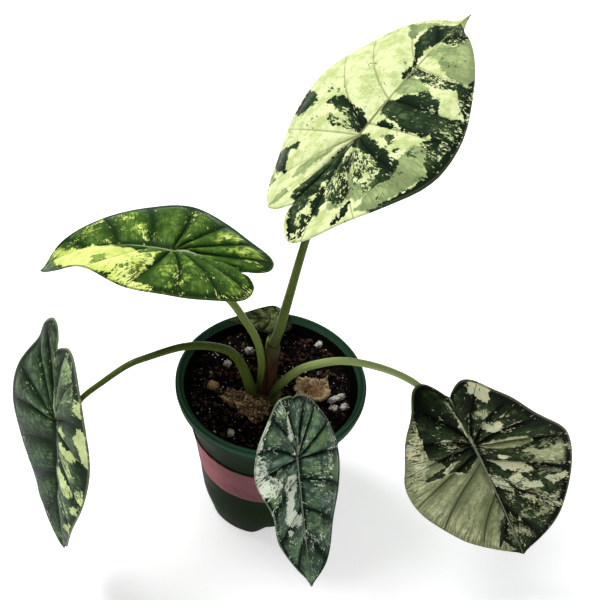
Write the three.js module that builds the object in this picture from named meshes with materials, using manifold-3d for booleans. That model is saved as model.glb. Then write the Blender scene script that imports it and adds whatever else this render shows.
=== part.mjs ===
// Potted variegated dragon scale alocasia.
// Millimetres, +Z up. The origin is the centre of the pot's base, on the surface that it stands on.
// The photographed side faces -Y.
import * as THREE from 'three';
import { mergeVertices } from 'three/addons/utils/BufferGeometryUtils.js';
import Module from 'manifold-3d';

const wasm = await Module();
wasm.setup();

// Gap kept between pieces that touch, and under what lies on the soil's facets
const GAP = 0.3;
const REST_GAP = 0.45;

// Pot: a 12 cm nursery pot with a stepped rim and a scalloped foot
const POT_HEIGHT = 119;
const RIM_RADIUS = 60;
const RIM_INNER_RADIUS = 56;
const WALL = 2;
const FLOOR_TOP = 14.5;
const FLOOR_UNDERSIDE = 12.5;
const POT_SIDES = 48;
const ARCH_COUNT = 4;
const ARCH_HEIGHT = 10.5;
const ARCH_HALF_WIDTH = 17;
const FIRST_ARCH_ANGLE = 18;
const CENTRE_PAD_RADIUS = 11;
const DRAIN_RADIUS = 4;
const DRAIN_CIRCLE = 25;

// Outside of the pot's body below the rim: height, radius
const BODY = [[0, 38.6], [4, 39.5], [12, 41.2], [20, 42.7], [32, 44], [47, 45], [60, 46.4],
  [72, 48.3], [90, 51.6], [109, 54.6]];

// Soil
const SOIL_LEVEL = 110;
const SOIL_RIPPLE = 1.1;
const SOIL_RINGS = 8;
const SOIL_SPOKES = 36;

// Bare paper label stuck round the front left of the pot
const LABEL = { low: 49, high: 82, from: -128, to: 62, thickness: 0.5 };

// Crown: the short buried stem that the leaves grow from, with a dry sheath round the tallest stalk
const CROWN = { x: -2.5, y: -9.5, radius: 13.5, foot: 95.5, top: 113.4, dome: 0.02, sides: 18 };
const SHEATH = [[-2.5, -7, 104], [-2.2, -5.4, 120], [-1.7, -3.6, 134], [-0.8, -1.5, 149]];
const SHEATH_RADII = [5.6, 4.2];

// Blade. The quilting swells between the side veins, and dies out at the midrib and at the
// collecting vein, here as shares of the way from the midrib to the margin.
const BLADE_THICKNESS = 0.8;
const QUILT = 2.2;
const QUILT_ROUNDNESS = 0.8;
const QUILT_START = 0.2;
const QUILT_END = 0.15;
const COLLECTING_VEIN = 0.93;
const VEIN_BOW = 0.14;
const RINGS = [0, 0.1, 0.3, 0.55, 0.8, COLLECTING_VEIN, 1];
const SMALL_RINGS = [0, 0.3, 0.7, 1];
const SMALL_LEAF = 50;

// Outline of one half of a blade, from the drip tip round to the notch between the lobes.
// The unit is the distance from the stalk to the tip.
const HALF_OUTLINE = [[0, 1], [0.03, 0.94], [0.15, 0.82], [0.32, 0.60], [0.44, 0.33], [0.485, 0.06],
  [0.46, -0.17], [0.365, -0.36], [0.245, -0.49], [0.125, -0.525], [0.045, -0.47], [0, -0.40]];

// Where the sunken side veins reach the margin, counted in points of the outline above,
// and the point past which they start at the stalk and not on the midrib
const VEINS = [2, 3, 4, 5, 6.1, 7.2, 8.4];
const LAST_MIDRIB_VEIN = 4.66;
const NOTCH = HALF_OUTLINE.length - 1;

// The leaves. at is where the stalk meets the blade, heading and rise turn the tip, lean rolls the
// blade about its midrib, all in degrees. Droop, sweep and twist are degrees for each 100 mm along
// the midrib, and fold and curl shape the two halves across it, curl again for each 100 mm.
// swell widens the outline in per cent and lift waves the margin in mm, at the ten inner points.
const LEAVES = {
  top: {
    at: [32.5, 20.5, 284.5], heading: 59, rise: 22.5, lean: 22.5, droopTip: 13, droopLobes: -21,
    sweep: -6, twist: 6, length: 118, lobes: 1.15, quilt: 0.75,
    right: { fold: 16, curl: 77, broad: 1, swell: [-7, -9, -11, -8, 0, 4, 3, 4, 4, 1],
      lift: [-3.5, -3, -1.5, -1.5, -2.5, 1, -2.5, -7, -8.5, -1.5] },
    left: { fold: 17, curl: 75, broad: 0.99, swell: [-1, 0, 1, 1, -1, -7, -15, -21, -16, -7],
      lift: [-2, 0.5, 1.5, 6, 2, -5.5, -8.5, -8, -2, 0] },
  },
  left: {
    at: [-61.5, 0.5, 211], heading: 169, rise: -1, lean: -8, droopTip: 50, droopLobes: 23,
    sweep: 0, twist: -1, length: 91.5, lobes: 1.08, quilt: 1,
    right: { fold: 19, curl: 71, broad: 1, swell: [0, -1, 0, 0, -1, -1, -1, 2, 4, 3],
      lift: [0.5, 3, 1.5, 1, 2, -2.5, -5, -4, -1.5, -0.5] },
    left: { fold: 20, curl: 67, broad: 1, swell: [1, 0, -1, -1, 3, 2, 2, 2, -1, -1],
      lift: [-2, -3, -1, 5, 0.5, -0.5, -2.5, -3.5, -2, 0] },
  },
  far_left: {
    at: [-112, -68.5, 137], heading: -93.5, rise: -70.5, lean: -45, droopTip: 8, droopLobes: -6,
    sweep: 5, twist: -1, length: 92, lobes: 1.2, quilt: 0.9,
    right: { fold: 19, curl: 69, broad: 1, swell: [0, 0, 0, 0, 0, -2, -6, -5, -1, 2],
      lift: [0.5, -1.5, -2.5, 1.5, 5, 2.5, -7, -7, -6.5, -3.5] },
    left: { fold: 20, curl: 68, broad: 0.97, swell: [0, -2, -5, -2, 0, 0, -1, -5, -11, -8],
      lift: [-1, 0, 2, 1, -0.5, 0, -1.5, -3.5, -2, 0.5] },
  },
  front: {
    at: [20, -80, 145.5], heading: -68, rise: -57.5, lean: 13, droopTip: 5, droopLobes: 21,
    sweep: -5, twist: 1, length: 77.5, lobes: 1.03, quilt: 0.9,
    right: { fold: 27, curl: 103, broad: 0.83, swell: [-2, -5, -10, -18, -9, -6, -8, -11, -14, -7],
      lift: [0, 1, 0.5, 6.5, -1, 3, 5.5, 4.5, 4.5, 4] },
    left: { fold: 16, curl: 123, broad: 0.84, swell: [0, 0, -2, -2, -2, -6, -15, -21, -19, -8],
      lift: [1, 0.5, -4.5, -3.5, -4, -6.5, -7.5, -5, 0, 1.5] },
  },
  right: {
    at: [122.5, -41, 125], heading: -5, rise: -59.5, lean: -72.5, droopTip: -14, droopLobes: 9,
    sweep: 2, twist: -1, length: 98.5, lobes: 1.05, quilt: 0.9,
    right: { fold: 24, curl: 59, broad: 0.99, swell: [2, 1, 2, 1, -2, -9, -9, -5, 3, 2],
      lift: [0.5, 1, 1, 1, 1.5, 4, 4, 2, -4, -2] },
    left: { fold: 25, curl: 58, broad: 1.02, swell: [3, 4, 7, 8, 7, -5, -9, -8, -5, -4],
      lift: [1, 1.5, 3, 2.5, 4.5, 7, 5, 3.5, 0.5, 2] },
  },
  small: {
    at: [-2, 46, 123.5], heading: 188, rise: 5, lean: -2, droopTip: 30, droopLobes: 40,
    sweep: 0, twist: 0, length: 31, lobes: 0.62, quilt: 0.4,
    right: { fold: 14, curl: 150, broad: 0.8, swell: [0, 0, 0, 0, 0, 0, 0, 0, 0, 0],
      lift: [0, 0, -1, 0, 1.5, 0, -1, 0, 0, 0] },
    left: { fold: 10, curl: 190, broad: 0.8, swell: [0, 0, 0, 0, 0, 0, 0, 0, 0, 0],
      lift: [0, 0, 1, 0, -1, 0, 0.5, 0, 0, 0] },
  },
};

// Leaf stalks, from the crown outwards. Each ends square against the underside of its blade.
// radii are at the crown and at the blade.
const STALKS = {
  top: { radii: [3.4, 1.9], via: [[-1.2, -2.5, 143], [-0.3, -0.7, 151], [1.4, 0.5, 158],
    [5.2, 3.8, 181.7], [9.4, 8, 209.7], [13.4, 11.8, 232], [20.5, 16.3, 258]] },
  left: { radii: [2.5, 2.2], via: [[-6.4, -7, 113], [-6.4, -6.9, 128.6], [-7, -6.8, 140.3],
    [-10.7, -6.3, 156.3], [-18.5, -5.2, 170.5], [-27.6, -4.1, 183.8], [-41, -2, 195]] },
  far_left: { radii: [3.8, 1.5], via: [[-10, -11.5, 108], [-11.6, -13, 118.1], [-15.1, -15, 134.3],
    [-18.9, -17.1, 147.4], [-24.1, -20, 158.1], [-30, -23.3, 163.9], [-40.5, -29.2, 170.2],
    [-50.6, -34.8, 172.8], [-65.4, -43.1, 171.8], [-75.1, -48.6, 170.1], [-88, -55.8, 162.1],
    [-100.1, -62.6, 152.2]] },
  front: { radii: [2.6, 1.8], via: [[6.5, -15, 107], [6.8, -16, 112.5], [8, -20, 119],
    [11, -31, 130], [14, -46, 141], [17, -62, 147]] },
  right: { radii: [3, 1.8], via: [[1, -9, 108], [2.2, -9.4, 115.5], [8.5, -11.1, 129.6],
    [16.7, -13.2, 142.7], [27.8, -16, 152.8], [38.9, -18.7, 159.7], [52, -22, 163.3],
    [67.2, -25.8, 163.7], [80, -28.7, 160.5], [96, -31, 149]] },
  small: { radii: [1.4, 1], via: [[-4, 0.5, 108], [-4.6, 4, 115], [-5.2, 14, 119.5], [-5.8, 26, 121],
    [-5.5, 34, 119.5]] },
};
const STALK_SIDES = 8;
const STALK_STEP = 9;
const JOINT_STRAIGHT = 7;

// Loose pieces on the soil: place, turn in degrees, size, how much wider one end is, and how far
// the piece sinks in
const CHIPS = {
  coir_block: { at: [-14, -20.5], turn: -25, size: [27, 12, 7.5], roughness: 0.2, taper: 0.5 },
  bark_chip: { at: [-36, -6.5], turn: -20, size: [7, 6, 4], roughness: 0.15, taper: 0 },
  pumice_sliver: { at: [41.5, -5.5], turn: 33, size: [12, 3.4, 3], roughness: 0.12, taper: 0.2,
    sink: 0.35 },
};
const PUMICE = { size: [4.6, 3.6, 3.2], roughness: 0.14, taper: 0.2 };
const PUMICE_PLACES = [[40.4, -12], [47.2, -10.5], [-20, -41], [-29.4, 12.7], [-17.4, 26.3], [28, 41]];
const CURLED_BARK = { at: [26.5, -4.5], turn: 8, length: 20, width: 15, thickness: 2.2 };

// Colours and finishes
const finish = (color, roughness) => new THREE.MeshStandardMaterial({ color, roughness, metalness: 0 });
const POT_GREEN = finish(0x274a3a, 0.45);
const SOIL_BROWN = finish(0x17110d, 0.95);
const LABEL_PINK = finish(0xb5666c, 0.8);
const CROWN_BROWN = finish(0x2c1a10, 0.85);
const STALK_GREEN = finish(0x5c7424, 0.5);
const BLADE_GREEN = finish(0x2f4f35, 0.45);
const COIR_BROWN = finish(0x6b5230, 0.95);
const BARK_TAN = finish(0xa8834f, 0.9);
const PUMICE_WHITE = finish(0xd9d4c6, 0.9);

// Helpers
const radians = THREE.MathUtils.degToRad;

function solid(geometry) {
  const bare = geometry.clone();
  bare.deleteAttribute('normal');
  bare.deleteAttribute('uv');
  const merged = mergeVertices(bare, 1e-4);
  return new wasm.Manifold(new wasm.Mesh({
    numProp: 3,
    vertProperties: new Float32Array(merged.attributes.position.array),
    triVerts: new Uint32Array(merged.index.array),
  }));
}

function geometryOf(manifold) {
  const mesh = manifold.getMesh();
  const geometry = new THREE.BufferGeometry();
  geometry.setAttribute('position', new THREE.BufferAttribute(new Float32Array(mesh.vertProperties), 3));
  geometry.setIndex(new THREE.BufferAttribute(new Uint32Array(mesh.triVerts), 1));
  return geometry;
}

function cut(geometry, ...tools) {
  let body = solid(geometry);
  for (const tool of tools) {
    body = body.subtract(solid(tool));
  }
  return geometryOf(body);
}

function join(first, ...others) {
  let body = solid(first);
  for (const other of others) {
    body = body.add(solid(other));
  }
  return geometryOf(body);
}

// Turns a profile of [radius, height] points about the vertical axis
function turned(profile, sides) {
  const lathe = new THREE.LatheGeometry(profile.map(([r, z]) => new THREE.Vector2(r, z)), sides);
  return lathe.rotateX(Math.PI / 2);
}

// A smooth curve through points, which are evenly spaced in its parameter from 0 to 1
function curveThrough(points) {
  return new THREE.CatmullRomCurve3(points, false, 'catmullrom', 0.5);
}

// Outside radius of the pot's body at a height
function bodyRadius(height) {
  for (let i = 1; i < BODY.length; i += 1) {
    const [low, lowRadius] = BODY[i - 1];
    const [high, highRadius] = BODY[i];
    if (height <= high) {
      return lowRadius + (highRadius - lowRadius) * (height - low) / (high - low);
    }
  }
  return BODY[BODY.length - 1][1];
}

// Pot
function makePot() {
  const rim = [[59.2, 110.4], [59.2, 113.4], [RIM_RADIUS, 114.2], [RIM_RADIUS, 117.8],
    [58.8, POT_HEIGHT], [57, POT_HEIGHT], [RIM_INNER_RADIUS, 117.8], [55.4, 114]];
  const inside = BODY.slice(3).reverse().map(([z, r]) => [r - WALL, z]);
  const profile = [
    [0, 0], [CENTRE_PAD_RADIUS, 0], [CENTRE_PAD_RADIUS + 1, FLOOR_UNDERSIDE],
    [bodyRadius(FLOOR_UNDERSIDE) - WALL, FLOOR_UNDERSIDE], [BODY[0][1] - WALL, 0],
    ...BODY.map(([z, r]) => [r, z]), ...rim, ...inside,
    [bodyRadius(FLOOR_TOP) - WALL, FLOOR_TOP], [0, FLOOR_TOP],
  ];
  const arches = [];
  const drains = [];
  for (let i = 0; i < ARCH_COUNT; i += 1) {
    const angle = radians(FIRST_ARCH_ANGLE - 90 + i * 360 / ARCH_COUNT);
    arches.push(archCutter().rotateZ(angle));
    const drain = new THREE.CylinderGeometry(DRAIN_RADIUS, DRAIN_RADIUS, 12, 12).rotateX(Math.PI / 2);
    drains.push(drain.translate(DRAIN_CIRCLE, 0, FLOOR_TOP).rotateZ(angle));
  }
  return cut(turned(profile, POT_SIDES), ...arches, ...drains);
}

// One arch of the foot, as a bell curve drawn out along +X
function archCutter() {
  const steps = 12;
  const bell = new THREE.Shape();
  bell.moveTo(-ARCH_HALF_WIDTH, -2);
  for (let i = 0; i <= steps; i += 1) {
    const s = 2 * i / steps - 1;
    bell.lineTo(s * ARCH_HALF_WIDTH, ARCH_HEIGHT * Math.cos(s * Math.PI / 2) ** 2 - 0.01);
  }
  bell.lineTo(ARCH_HALF_WIDTH, -2);
  const bar = new THREE.ExtrudeGeometry(bell, { depth: 30, bevelEnabled: false, steps: 1 });
  return bar.rotateX(Math.PI / 2).rotateZ(Math.PI / 2).translate(25, 0, 0);
}

// Soil
function soilHeight(x, y) {
  const ripple = Math.sin(x * 0.31 + 1) * Math.cos(y * 0.27) + 0.6 * Math.sin(x * 0.13 - y * 0.39 + 2);
  const slump = 0.0007 * (x * x + y * y);
  return SOIL_LEVEL + SOIL_RIPPLE * ripple - slump;
}

function makeSoil() {
  const inner = (z) => bodyRadius(z) - WALL - GAP;
  const side = [FLOOR_TOP + GAP, 20, 32, 47, 60, 72, 90];
  const profile = [[0, side[0]], ...side.map((z) => [inner(z), z])];
  for (let i = 0; i <= SOIL_RINGS; i += 1) {
    profile.push([inner(SOIL_LEVEL - 6) * (1 - i / SOIL_RINGS), SOIL_LEVEL]);
  }
  const body = turned(profile, SOIL_SPOKES);
  const place = body.attributes.position;
  for (let i = 0; i < place.count; i += 1) {
    if (place.getZ(i) > SOIL_LEVEL - 1) {
      place.setZ(i, soilHeight(place.getX(i), place.getY(i)));
    }
  }
  const hole = new THREE.CylinderGeometry(CROWN.radius + GAP, CROWN.radius + GAP, 40, CROWN.sides);
  hole.rotateX(Math.PI / 2).translate(CROWN.x, CROWN.y, CROWN.foot - GAP + 20);
  return cut(body, hole);
}

function crownHeight(x, y) {
  const distance = Math.hypot(x - CROWN.x, y - CROWN.y);
  return distance > CROWN.radius ? 0 : CROWN.top - CROWN.dome * distance * distance;
}

// Where a loose piece rests: the highest soil or crown under its middle
function restHeight([x, y], turn, length, width) {
  const along = new THREE.Vector2(Math.cos(radians(turn)), Math.sin(radians(turn)));
  let highest = 0;
  for (let u = -0.3; u <= 0.31; u += 0.1) {
    for (let v = -0.3; v <= 0.31; v += 0.2) {
      const px = x + u * length * along.x - v * width * along.y;
      const py = y + u * length * along.y + v * width * along.x;
      highest = Math.max(highest, soilHeight(px, py), crownHeight(px, py));
    }
  }
  return highest + REST_GAP;
}

// Label: a thin curved strip that follows the pot's taper
function makeLabel() {
  const steps = 24;
  const rows = [LABEL.low, 60, 72, LABEL.high];
  const strip = new THREE.BoxGeometry(1, 1, 1, steps, 1, rows.length - 1);
  const place = strip.attributes.position;
  for (let i = 0; i < place.count; i += 1) {
    const row = Math.round((place.getZ(i) + 0.5) * (rows.length - 1));
    const along = place.getX(i) + 0.5;
    const angle = radians(LABEL.from + (LABEL.to - LABEL.from) * along);
    const radius = bodyRadius(rows[row]) + GAP + (place.getY(i) < 0 ? LABEL.thickness : 0);
    place.setXYZ(i, radius * Math.sin(angle), -radius * Math.cos(angle), rows[row]);
  }
  return strip;
}

// Blade: the smooth sheet. across and along are distances on the flat leaf from the stalk's joint.
function poseOf(leaf) {
  const heading = radians(leaf.heading);
  const rise = radians(leaf.rise);
  const lean = radians(leaf.lean);
  const tipward = new THREE.Vector3(
    Math.cos(heading) * Math.cos(rise), Math.sin(heading) * Math.cos(rise), Math.sin(rise));
  const level = new THREE.Vector3(Math.sin(heading), -Math.cos(heading), 0);
  const upright = level.clone().cross(tipward);
  const side = level.clone().multiplyScalar(Math.cos(lean)).addScaledVector(upright, Math.sin(lean));
  const face = upright.clone().multiplyScalar(Math.cos(lean)).addScaledVector(level, -Math.sin(lean));
  return new THREE.Matrix4().makeBasis(side, tipward, face).setPosition(...leaf.at);
}

function sheetPoint(leaf, pose, across, along) {
  const droop = radians(along >= 0 ? leaf.droopTip : leaf.droopLobes) / 100;
  const bend = droop * along;
  const half = across >= 0 ? leaf.right : leaf.left;
  const curl = radians(half.curl) / 100;
  const start = radians(half.fold);
  const end = start - curl * Math.abs(across);
  const out = Math.sign(across) * (Math.sin(start) - Math.sin(end)) / curl;
  const up = (Math.cos(end) - Math.cos(start)) / curl;
  const twist = radians(leaf.twist) / 100 * along;
  const x = out * Math.cos(twist) + up * Math.sin(twist);
  const z = up * Math.cos(twist) - out * Math.sin(twist);
  const sweep = radians(leaf.sweep) / 100;
  return new THREE.Vector3(
    x + 0.5 * sweep * along * along,
    Math.sin(bend) / droop + z * Math.sin(bend),
    (Math.cos(bend) - 1) / droop + z * Math.cos(bend),
  ).applyMatrix4(pose);
}

function sheetNormal(leaf, pose, across, along) {
  const step = 0.5;
  const left = sheetPoint(leaf, pose, across === 0 ? -step : across - Math.sign(across) * step * 0.5, along);
  const right = sheetPoint(leaf, pose, across === 0 ? step : across + Math.sign(across) * step * 0.5, along);
  const crosswise = right.sub(left).multiplyScalar(across < 0 ? -1 : 1);
  const lengthwise = sheetPoint(leaf, pose, across, along + step).sub(
    sheetPoint(leaf, pose, across, along - step));
  return crosswise.cross(lengthwise).normalize();
}

function marginOf(leaf, half) {
  const points = HALF_OUTLINE.map(([x, y], i) => {
    const inner = i > 0 && i < NOTCH;
    const scale = leaf.length * (inner ? 1 + half.swell[i - 1] / 100 : 1);
    return new THREE.Vector3(x * half.broad * scale, (y < 0 ? y * leaf.lobes : y) * scale,
      inner ? half.lift[i - 1] : 0);
  });
  return curveThrough(points);
}

// One point of a half blade: column runs along the margin, ring from the midrib out to it
function bladePoint(leaf, half, side, margin, column, ring) {
  const rim = margin.getPoint(column / NOTCH);
  const root = new THREE.Vector2(0, Math.max(0, leaf.length * (1 - column / LAST_MIDRIB_VEIN)));
  const end = new THREE.Vector2(rim.x, rim.y);
  const chord = end.clone().sub(root);
  const bow = VEIN_BOW * Math.min(1, (NOTCH - column) / 4);
  const elbow = root.clone().add(end).multiplyScalar(0.5).add(
    new THREE.Vector2(chord.y, -chord.x).multiplyScalar(bow));
  const flat = root.multiplyScalar((1 - ring) ** 2).addScaledVector(elbow, 2 * ring * (1 - ring))
    .addScaledVector(end, ring * ring);
  const edges = [0, ...VEINS, NOTCH];
  const next = Math.max(1, edges.findIndex((edge) => column < edge));
  const between = (column - edges[next - 1]) / (edges[next] - edges[next - 1]);
  const swelling = column < NOTCH ? Math.sin(Math.PI * between) ** QUILT_ROUNDNESS : 0;
  const outer = Math.max(0, COLLECTING_VEIN - ring);
  const fade = Math.min(1, ring / QUILT_START) * Math.min(1, outer / QUILT_END);
  const nearTip = Math.min(1, column / 3);
  const relief = QUILT * leaf.quilt * swelling * fade * nearTip;
  return { across: side * flat.x, along: flat.y, height: relief + rim.z * ring * ring };
}

function makeBlade(leaf) {
  const pose = poseOf(leaf);
  const large = leaf.length > SMALL_LEAF;
  const columns = [0, 0.5, 1, 1.5];
  const edges = [...VEINS, NOTCH];
  edges.slice(0, -1).forEach((edge, i) => {
    const steps = (large ? 3 : 2) + (i > 5 ? 2 : 0);
    for (let k = 0; k < steps; k += 1) {
      columns.push(edge + (edges[i + 1] - edge) * k / steps);
    }
  });
  columns.push(NOTCH);
  const rings = large ? RINGS : SMALL_RINGS;
  const top = [];
  const bottom = [];
  const faces = [];
  const add = (p) => {
    const base = sheetPoint(leaf, pose, p.across, p.along);
    const normal = sheetNormal(leaf, pose, p.across, p.along);
    base.addScaledVector(normal, p.height);
    top.push(base);
    bottom.push(base.clone().addScaledVector(normal, -BLADE_THICKNESS));
    return top.length - 1;
  };
  const shared = new Map();
  const grids = [['right', 1], ['left', -1]].map(([name, side]) => {
    const margin = marginOf(leaf, leaf[name]);
    return columns.map((column, j) => rings.map((ring, i) => {
      const atTip = j === 0;
      const atJoint = i === 0 && column >= LAST_MIDRIB_VEIN;
      const onSeam = j === columns.length - 1;
      const key = atTip ? 'tip' : atJoint ? 'joint' : i === 0 ? `midrib ${j}` : onSeam ? `seam ${i}` : null;
      if (key !== null && shared.has(key)) {
        return shared.get(key);
      }
      const index = add(bladePoint(leaf, leaf[name], side, margin, column, ring));
      if (key !== null) {
        shared.set(key, index);
      }
      return index;
    }));
  });
  grids.forEach((grid, half) => {
    for (let j = 0; j + 1 < columns.length; j += 1) {
      for (let i = 0; i + 1 < rings.length; i += 1) {
        const quad = [grid[j][i], grid[j + 1][i], grid[j + 1][i + 1], grid[j][i + 1]];
        for (const [a, b, c] of [[quad[0], quad[1], quad[2]], [quad[0], quad[2], quad[3]]]) {
          if (a !== b && b !== c && a !== c) {
            faces.push(half === 0 ? [a, b, c] : [a, c, b]);
          }
        }
      }
    }
  });
  const last = rings.length - 1;
  const rimOf = (grid) => grid.map((column) => column[last]);
  const loop = [...rimOf(grids[0]), ...rimOf(grids[1]).slice(1, -1).reverse()];
  return shellOf(top, bottom, faces, loop);
}

// Closes two like sheets into a solid with a wall along their margin. The loop runs clockwise.
function shellOf(top, bottom, faces, loop) {
  const count = top.length;
  const index = [];
  for (const [a, b, c] of faces) {
    index.push(a, b, c);
    index.push(a + count, c + count, b + count);
  }
  loop.forEach((a, i) => {
    const b = loop[(i + 1) % loop.length];
    index.push(a, b, b + count);
    index.push(a, b + count, a + count);
  });
  const geometry = new THREE.BufferGeometry();
  const positions = [...top, ...bottom].flatMap((p) => [p.x, p.y, p.z]);
  geometry.setAttribute('position', new THREE.Float32BufferAttribute(positions, 3));
  geometry.setIndex(index);
  return geometry;
}

// Stalks
function stalkGeometry(path, radii, sides, steps) {
  const curve = new THREE.CatmullRomCurve3(path.map((p) => new THREE.Vector3(...p)), false, 'centripetal');
  const tube = new THREE.CylinderGeometry(1, 1, 1, sides, steps);
  const frames = curve.computeFrenetFrames(steps, false);
  const place = tube.attributes.position;
  for (let i = 0; i < place.count; i += 1) {
    const step = Math.round((place.getY(i) + 0.5) * steps);
    const radius = radii[1] + (radii[0] - radii[1]) * (1 - step / steps) ** 2;
    const centre = curve.getPointAt(step / steps);
    centre.addScaledVector(frames.normals[step], radius * place.getX(i));
    centre.addScaledVector(frames.binormals[step], -radius * place.getZ(i));
    place.setXYZ(i, centre.x, centre.y, centre.z);
  }
  return tube;
}

function stalkPath(name) {
  const leaf = LEAVES[name];
  const face = new THREE.Vector3();
  const pose = poseOf(leaf);
  pose.extractBasis(new THREE.Vector3(), new THREE.Vector3(), face);
  const joint = new THREE.Vector3(...leaf.at);
  const below = (distance) => joint.clone().addScaledVector(face, -distance).toArray();
  const straight = leaf.length > SMALL_LEAF ? JOINT_STRAIGHT : JOINT_STRAIGHT / 2;
  return [...STALKS[name].via, below(straight), below(BLADE_THICKNESS + GAP)];
}

function makeStalk(name, extra = 0) {
  const path = stalkPath(name);
  const curve = new THREE.CatmullRomCurve3(path.map((p) => new THREE.Vector3(...p)), false, 'centripetal');
  const steps = Math.round(curve.getLength() / STALK_STEP);
  const radii = STALKS[name].radii.map((radius) => radius + extra);
  return stalkGeometry(path, radii, STALK_SIDES, steps);
}

// Crown
function makeCrown() {
  const { x, y, radius, foot, sides } = CROWN;
  const dome = [1, 0.8, 0.5, 0].map((share) => [radius * share, crownHeight(x + radius * share, y)]);
  const stub = turned([[0, foot], [radius, foot], ...dome], sides);
  stub.translate(x, y, 0);
  const sheath = stalkGeometry(SHEATH, SHEATH_RADII, 10, 6);
  const sockets = Object.keys(STALKS).map((name) => makeStalk(name, GAP));
  return cut(join(stub, sheath), ...sockets);
}

// Loose pieces: a rough lump is half ball and half box, with its sides pushed in and out by a
// formula and its underside flat
const FLAT_UNDERSIDE = 0.42;

function makeChip({ at, turn, size, roughness, taper, sink = 0 }) {
  const lump = new THREE.SphereGeometry(0.5, 9, 6).rotateX(Math.PI / 2);
  const place = lump.attributes.position;
  for (let i = 0; i < place.count; i += 1) {
    const p = new THREE.Vector3().fromBufferAttribute(place, i);
    const boxy = 0.5 / Math.max(Math.abs(p.x), Math.abs(p.y), Math.abs(p.z));
    const wave = Math.sin(p.x * 11 + at[0]) * Math.sin(p.y * 9 + at[1]) * Math.sin(p.z * 8 + 1);
    p.multiplyScalar((0.45 * boxy + 0.55) * (1 + roughness * wave));
    const width = size[1] * (1 + taper * p.x);
    place.setXYZ(i, p.x * size[0], p.y * width, Math.max(p.z, -FLAT_UNDERSIDE) * size[2]);
  }
  lump.rotateZ(radians(turn));
  const height = restHeight(at, turn, size[0], size[1]) + FLAT_UNDERSIDE * size[2] - sink;
  return lump.translate(at[0], at[1], height);
}

function makeCurledBark() {
  const { at, turn, length, width, thickness } = CURLED_BARK;
  const sheet = new THREE.BoxGeometry(length, width, thickness, 8, 6, 1);
  const place = sheet.attributes.position;
  for (let i = 0; i < place.count; i += 1) {
    const u = place.getX(i) / length * 2;
    const v = place.getY(i) / width * 2;
    const ragged = 1 - 0.08 * Math.sin(5 * u + 2) * Math.sin(4 * v + 1);
    const curl = 4.2 * v * v + 2.6 * u * u + 1.1 * Math.sin(4 * u + 3 * v);
    const round = 1 - 0.13 * u * u * v * v;
    place.setXYZ(i, place.getX(i) * ragged * round, place.getY(i) * ragged * round, place.getZ(i) + curl);
  }
  sheet.computeBoundingBox();
  const rest = restHeight(at, turn, length / 2, width / 2);
  return sheet.rotateZ(radians(turn)).translate(at[0], at[1], rest - sheet.boundingBox.min.z);
}

// The plant
const plant = new THREE.Group();

function place(name, geometry, material) {
  const mesh = new THREE.Mesh(geometry, material);
  mesh.name = name;
  plant.add(mesh);
}

place('pot', makePot(), POT_GREEN);
place('soil', makeSoil(), SOIL_BROWN);
place('label', makeLabel(), LABEL_PINK);
place('crown', makeCrown(), CROWN_BROWN);
for (const name of Object.keys(LEAVES)) {
  place(`stalk_${name}`, makeStalk(name), STALK_GREEN);
  place(`blade_${name}`, makeBlade(LEAVES[name]), BLADE_GREEN);
}
place('coir_block', cut(makeChip(CHIPS.coir_block), makeStalk('far_left', GAP)), COIR_BROWN);
place('bark_chip', makeChip(CHIPS.bark_chip), BARK_TAN);
place('pumice_sliver', makeChip(CHIPS.pumice_sliver), PUMICE_WHITE);
PUMICE_PLACES.forEach((at, i) => {
  place(`pumice_${i + 1}`, makeChip({ ...PUMICE, at, turn: 50 * i }), PUMICE_WHITE);
});
place('curled_bark', makeCurledBark(), BARK_TAN);

export default plant;
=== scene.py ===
# %% [markdown]
# # A variegated dragon scale alocasia in its nursery pot
# The plant is a pot of soil, a short crown, six leaf stalks and six shield-shaped blades.
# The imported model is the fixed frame: it says where each part is, to the millimetre. Each lesson
# below replaces some of its plain solids with a finer piece of the same form, and gives every
# surface a finish made of nodes.

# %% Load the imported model
import math
import random

import bmesh
import bpy
import numpy as np
from mathutils import Matrix, Vector, noise


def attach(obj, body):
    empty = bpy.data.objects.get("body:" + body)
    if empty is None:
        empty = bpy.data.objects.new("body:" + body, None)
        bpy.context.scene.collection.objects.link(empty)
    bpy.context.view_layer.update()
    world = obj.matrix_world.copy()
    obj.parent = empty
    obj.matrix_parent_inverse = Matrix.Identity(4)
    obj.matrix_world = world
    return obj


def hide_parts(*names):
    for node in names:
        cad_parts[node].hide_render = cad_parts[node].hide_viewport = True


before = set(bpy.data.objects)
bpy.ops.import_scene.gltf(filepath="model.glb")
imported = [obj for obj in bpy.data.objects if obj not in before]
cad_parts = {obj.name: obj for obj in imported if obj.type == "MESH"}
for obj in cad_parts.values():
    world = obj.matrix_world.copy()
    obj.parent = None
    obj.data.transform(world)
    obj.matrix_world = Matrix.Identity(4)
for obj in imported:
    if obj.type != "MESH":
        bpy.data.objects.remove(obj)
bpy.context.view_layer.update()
MM = 0.001

# %% [markdown]
# ## Camera
# The plant is seen from the front and well above, by a camera that leans a little to one side.
# A camera can be aimed with constraints, but three axes written out as a matrix say exactly how
# it is pitched and rolled.

# %% Camera
CAMERA_PLACE = (0.012, -0.337, 0.494)
CAMERA_PITCH = math.radians(42.4)
CAMERA_ROLL = math.radians(6.55)
LENS = 48

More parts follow.
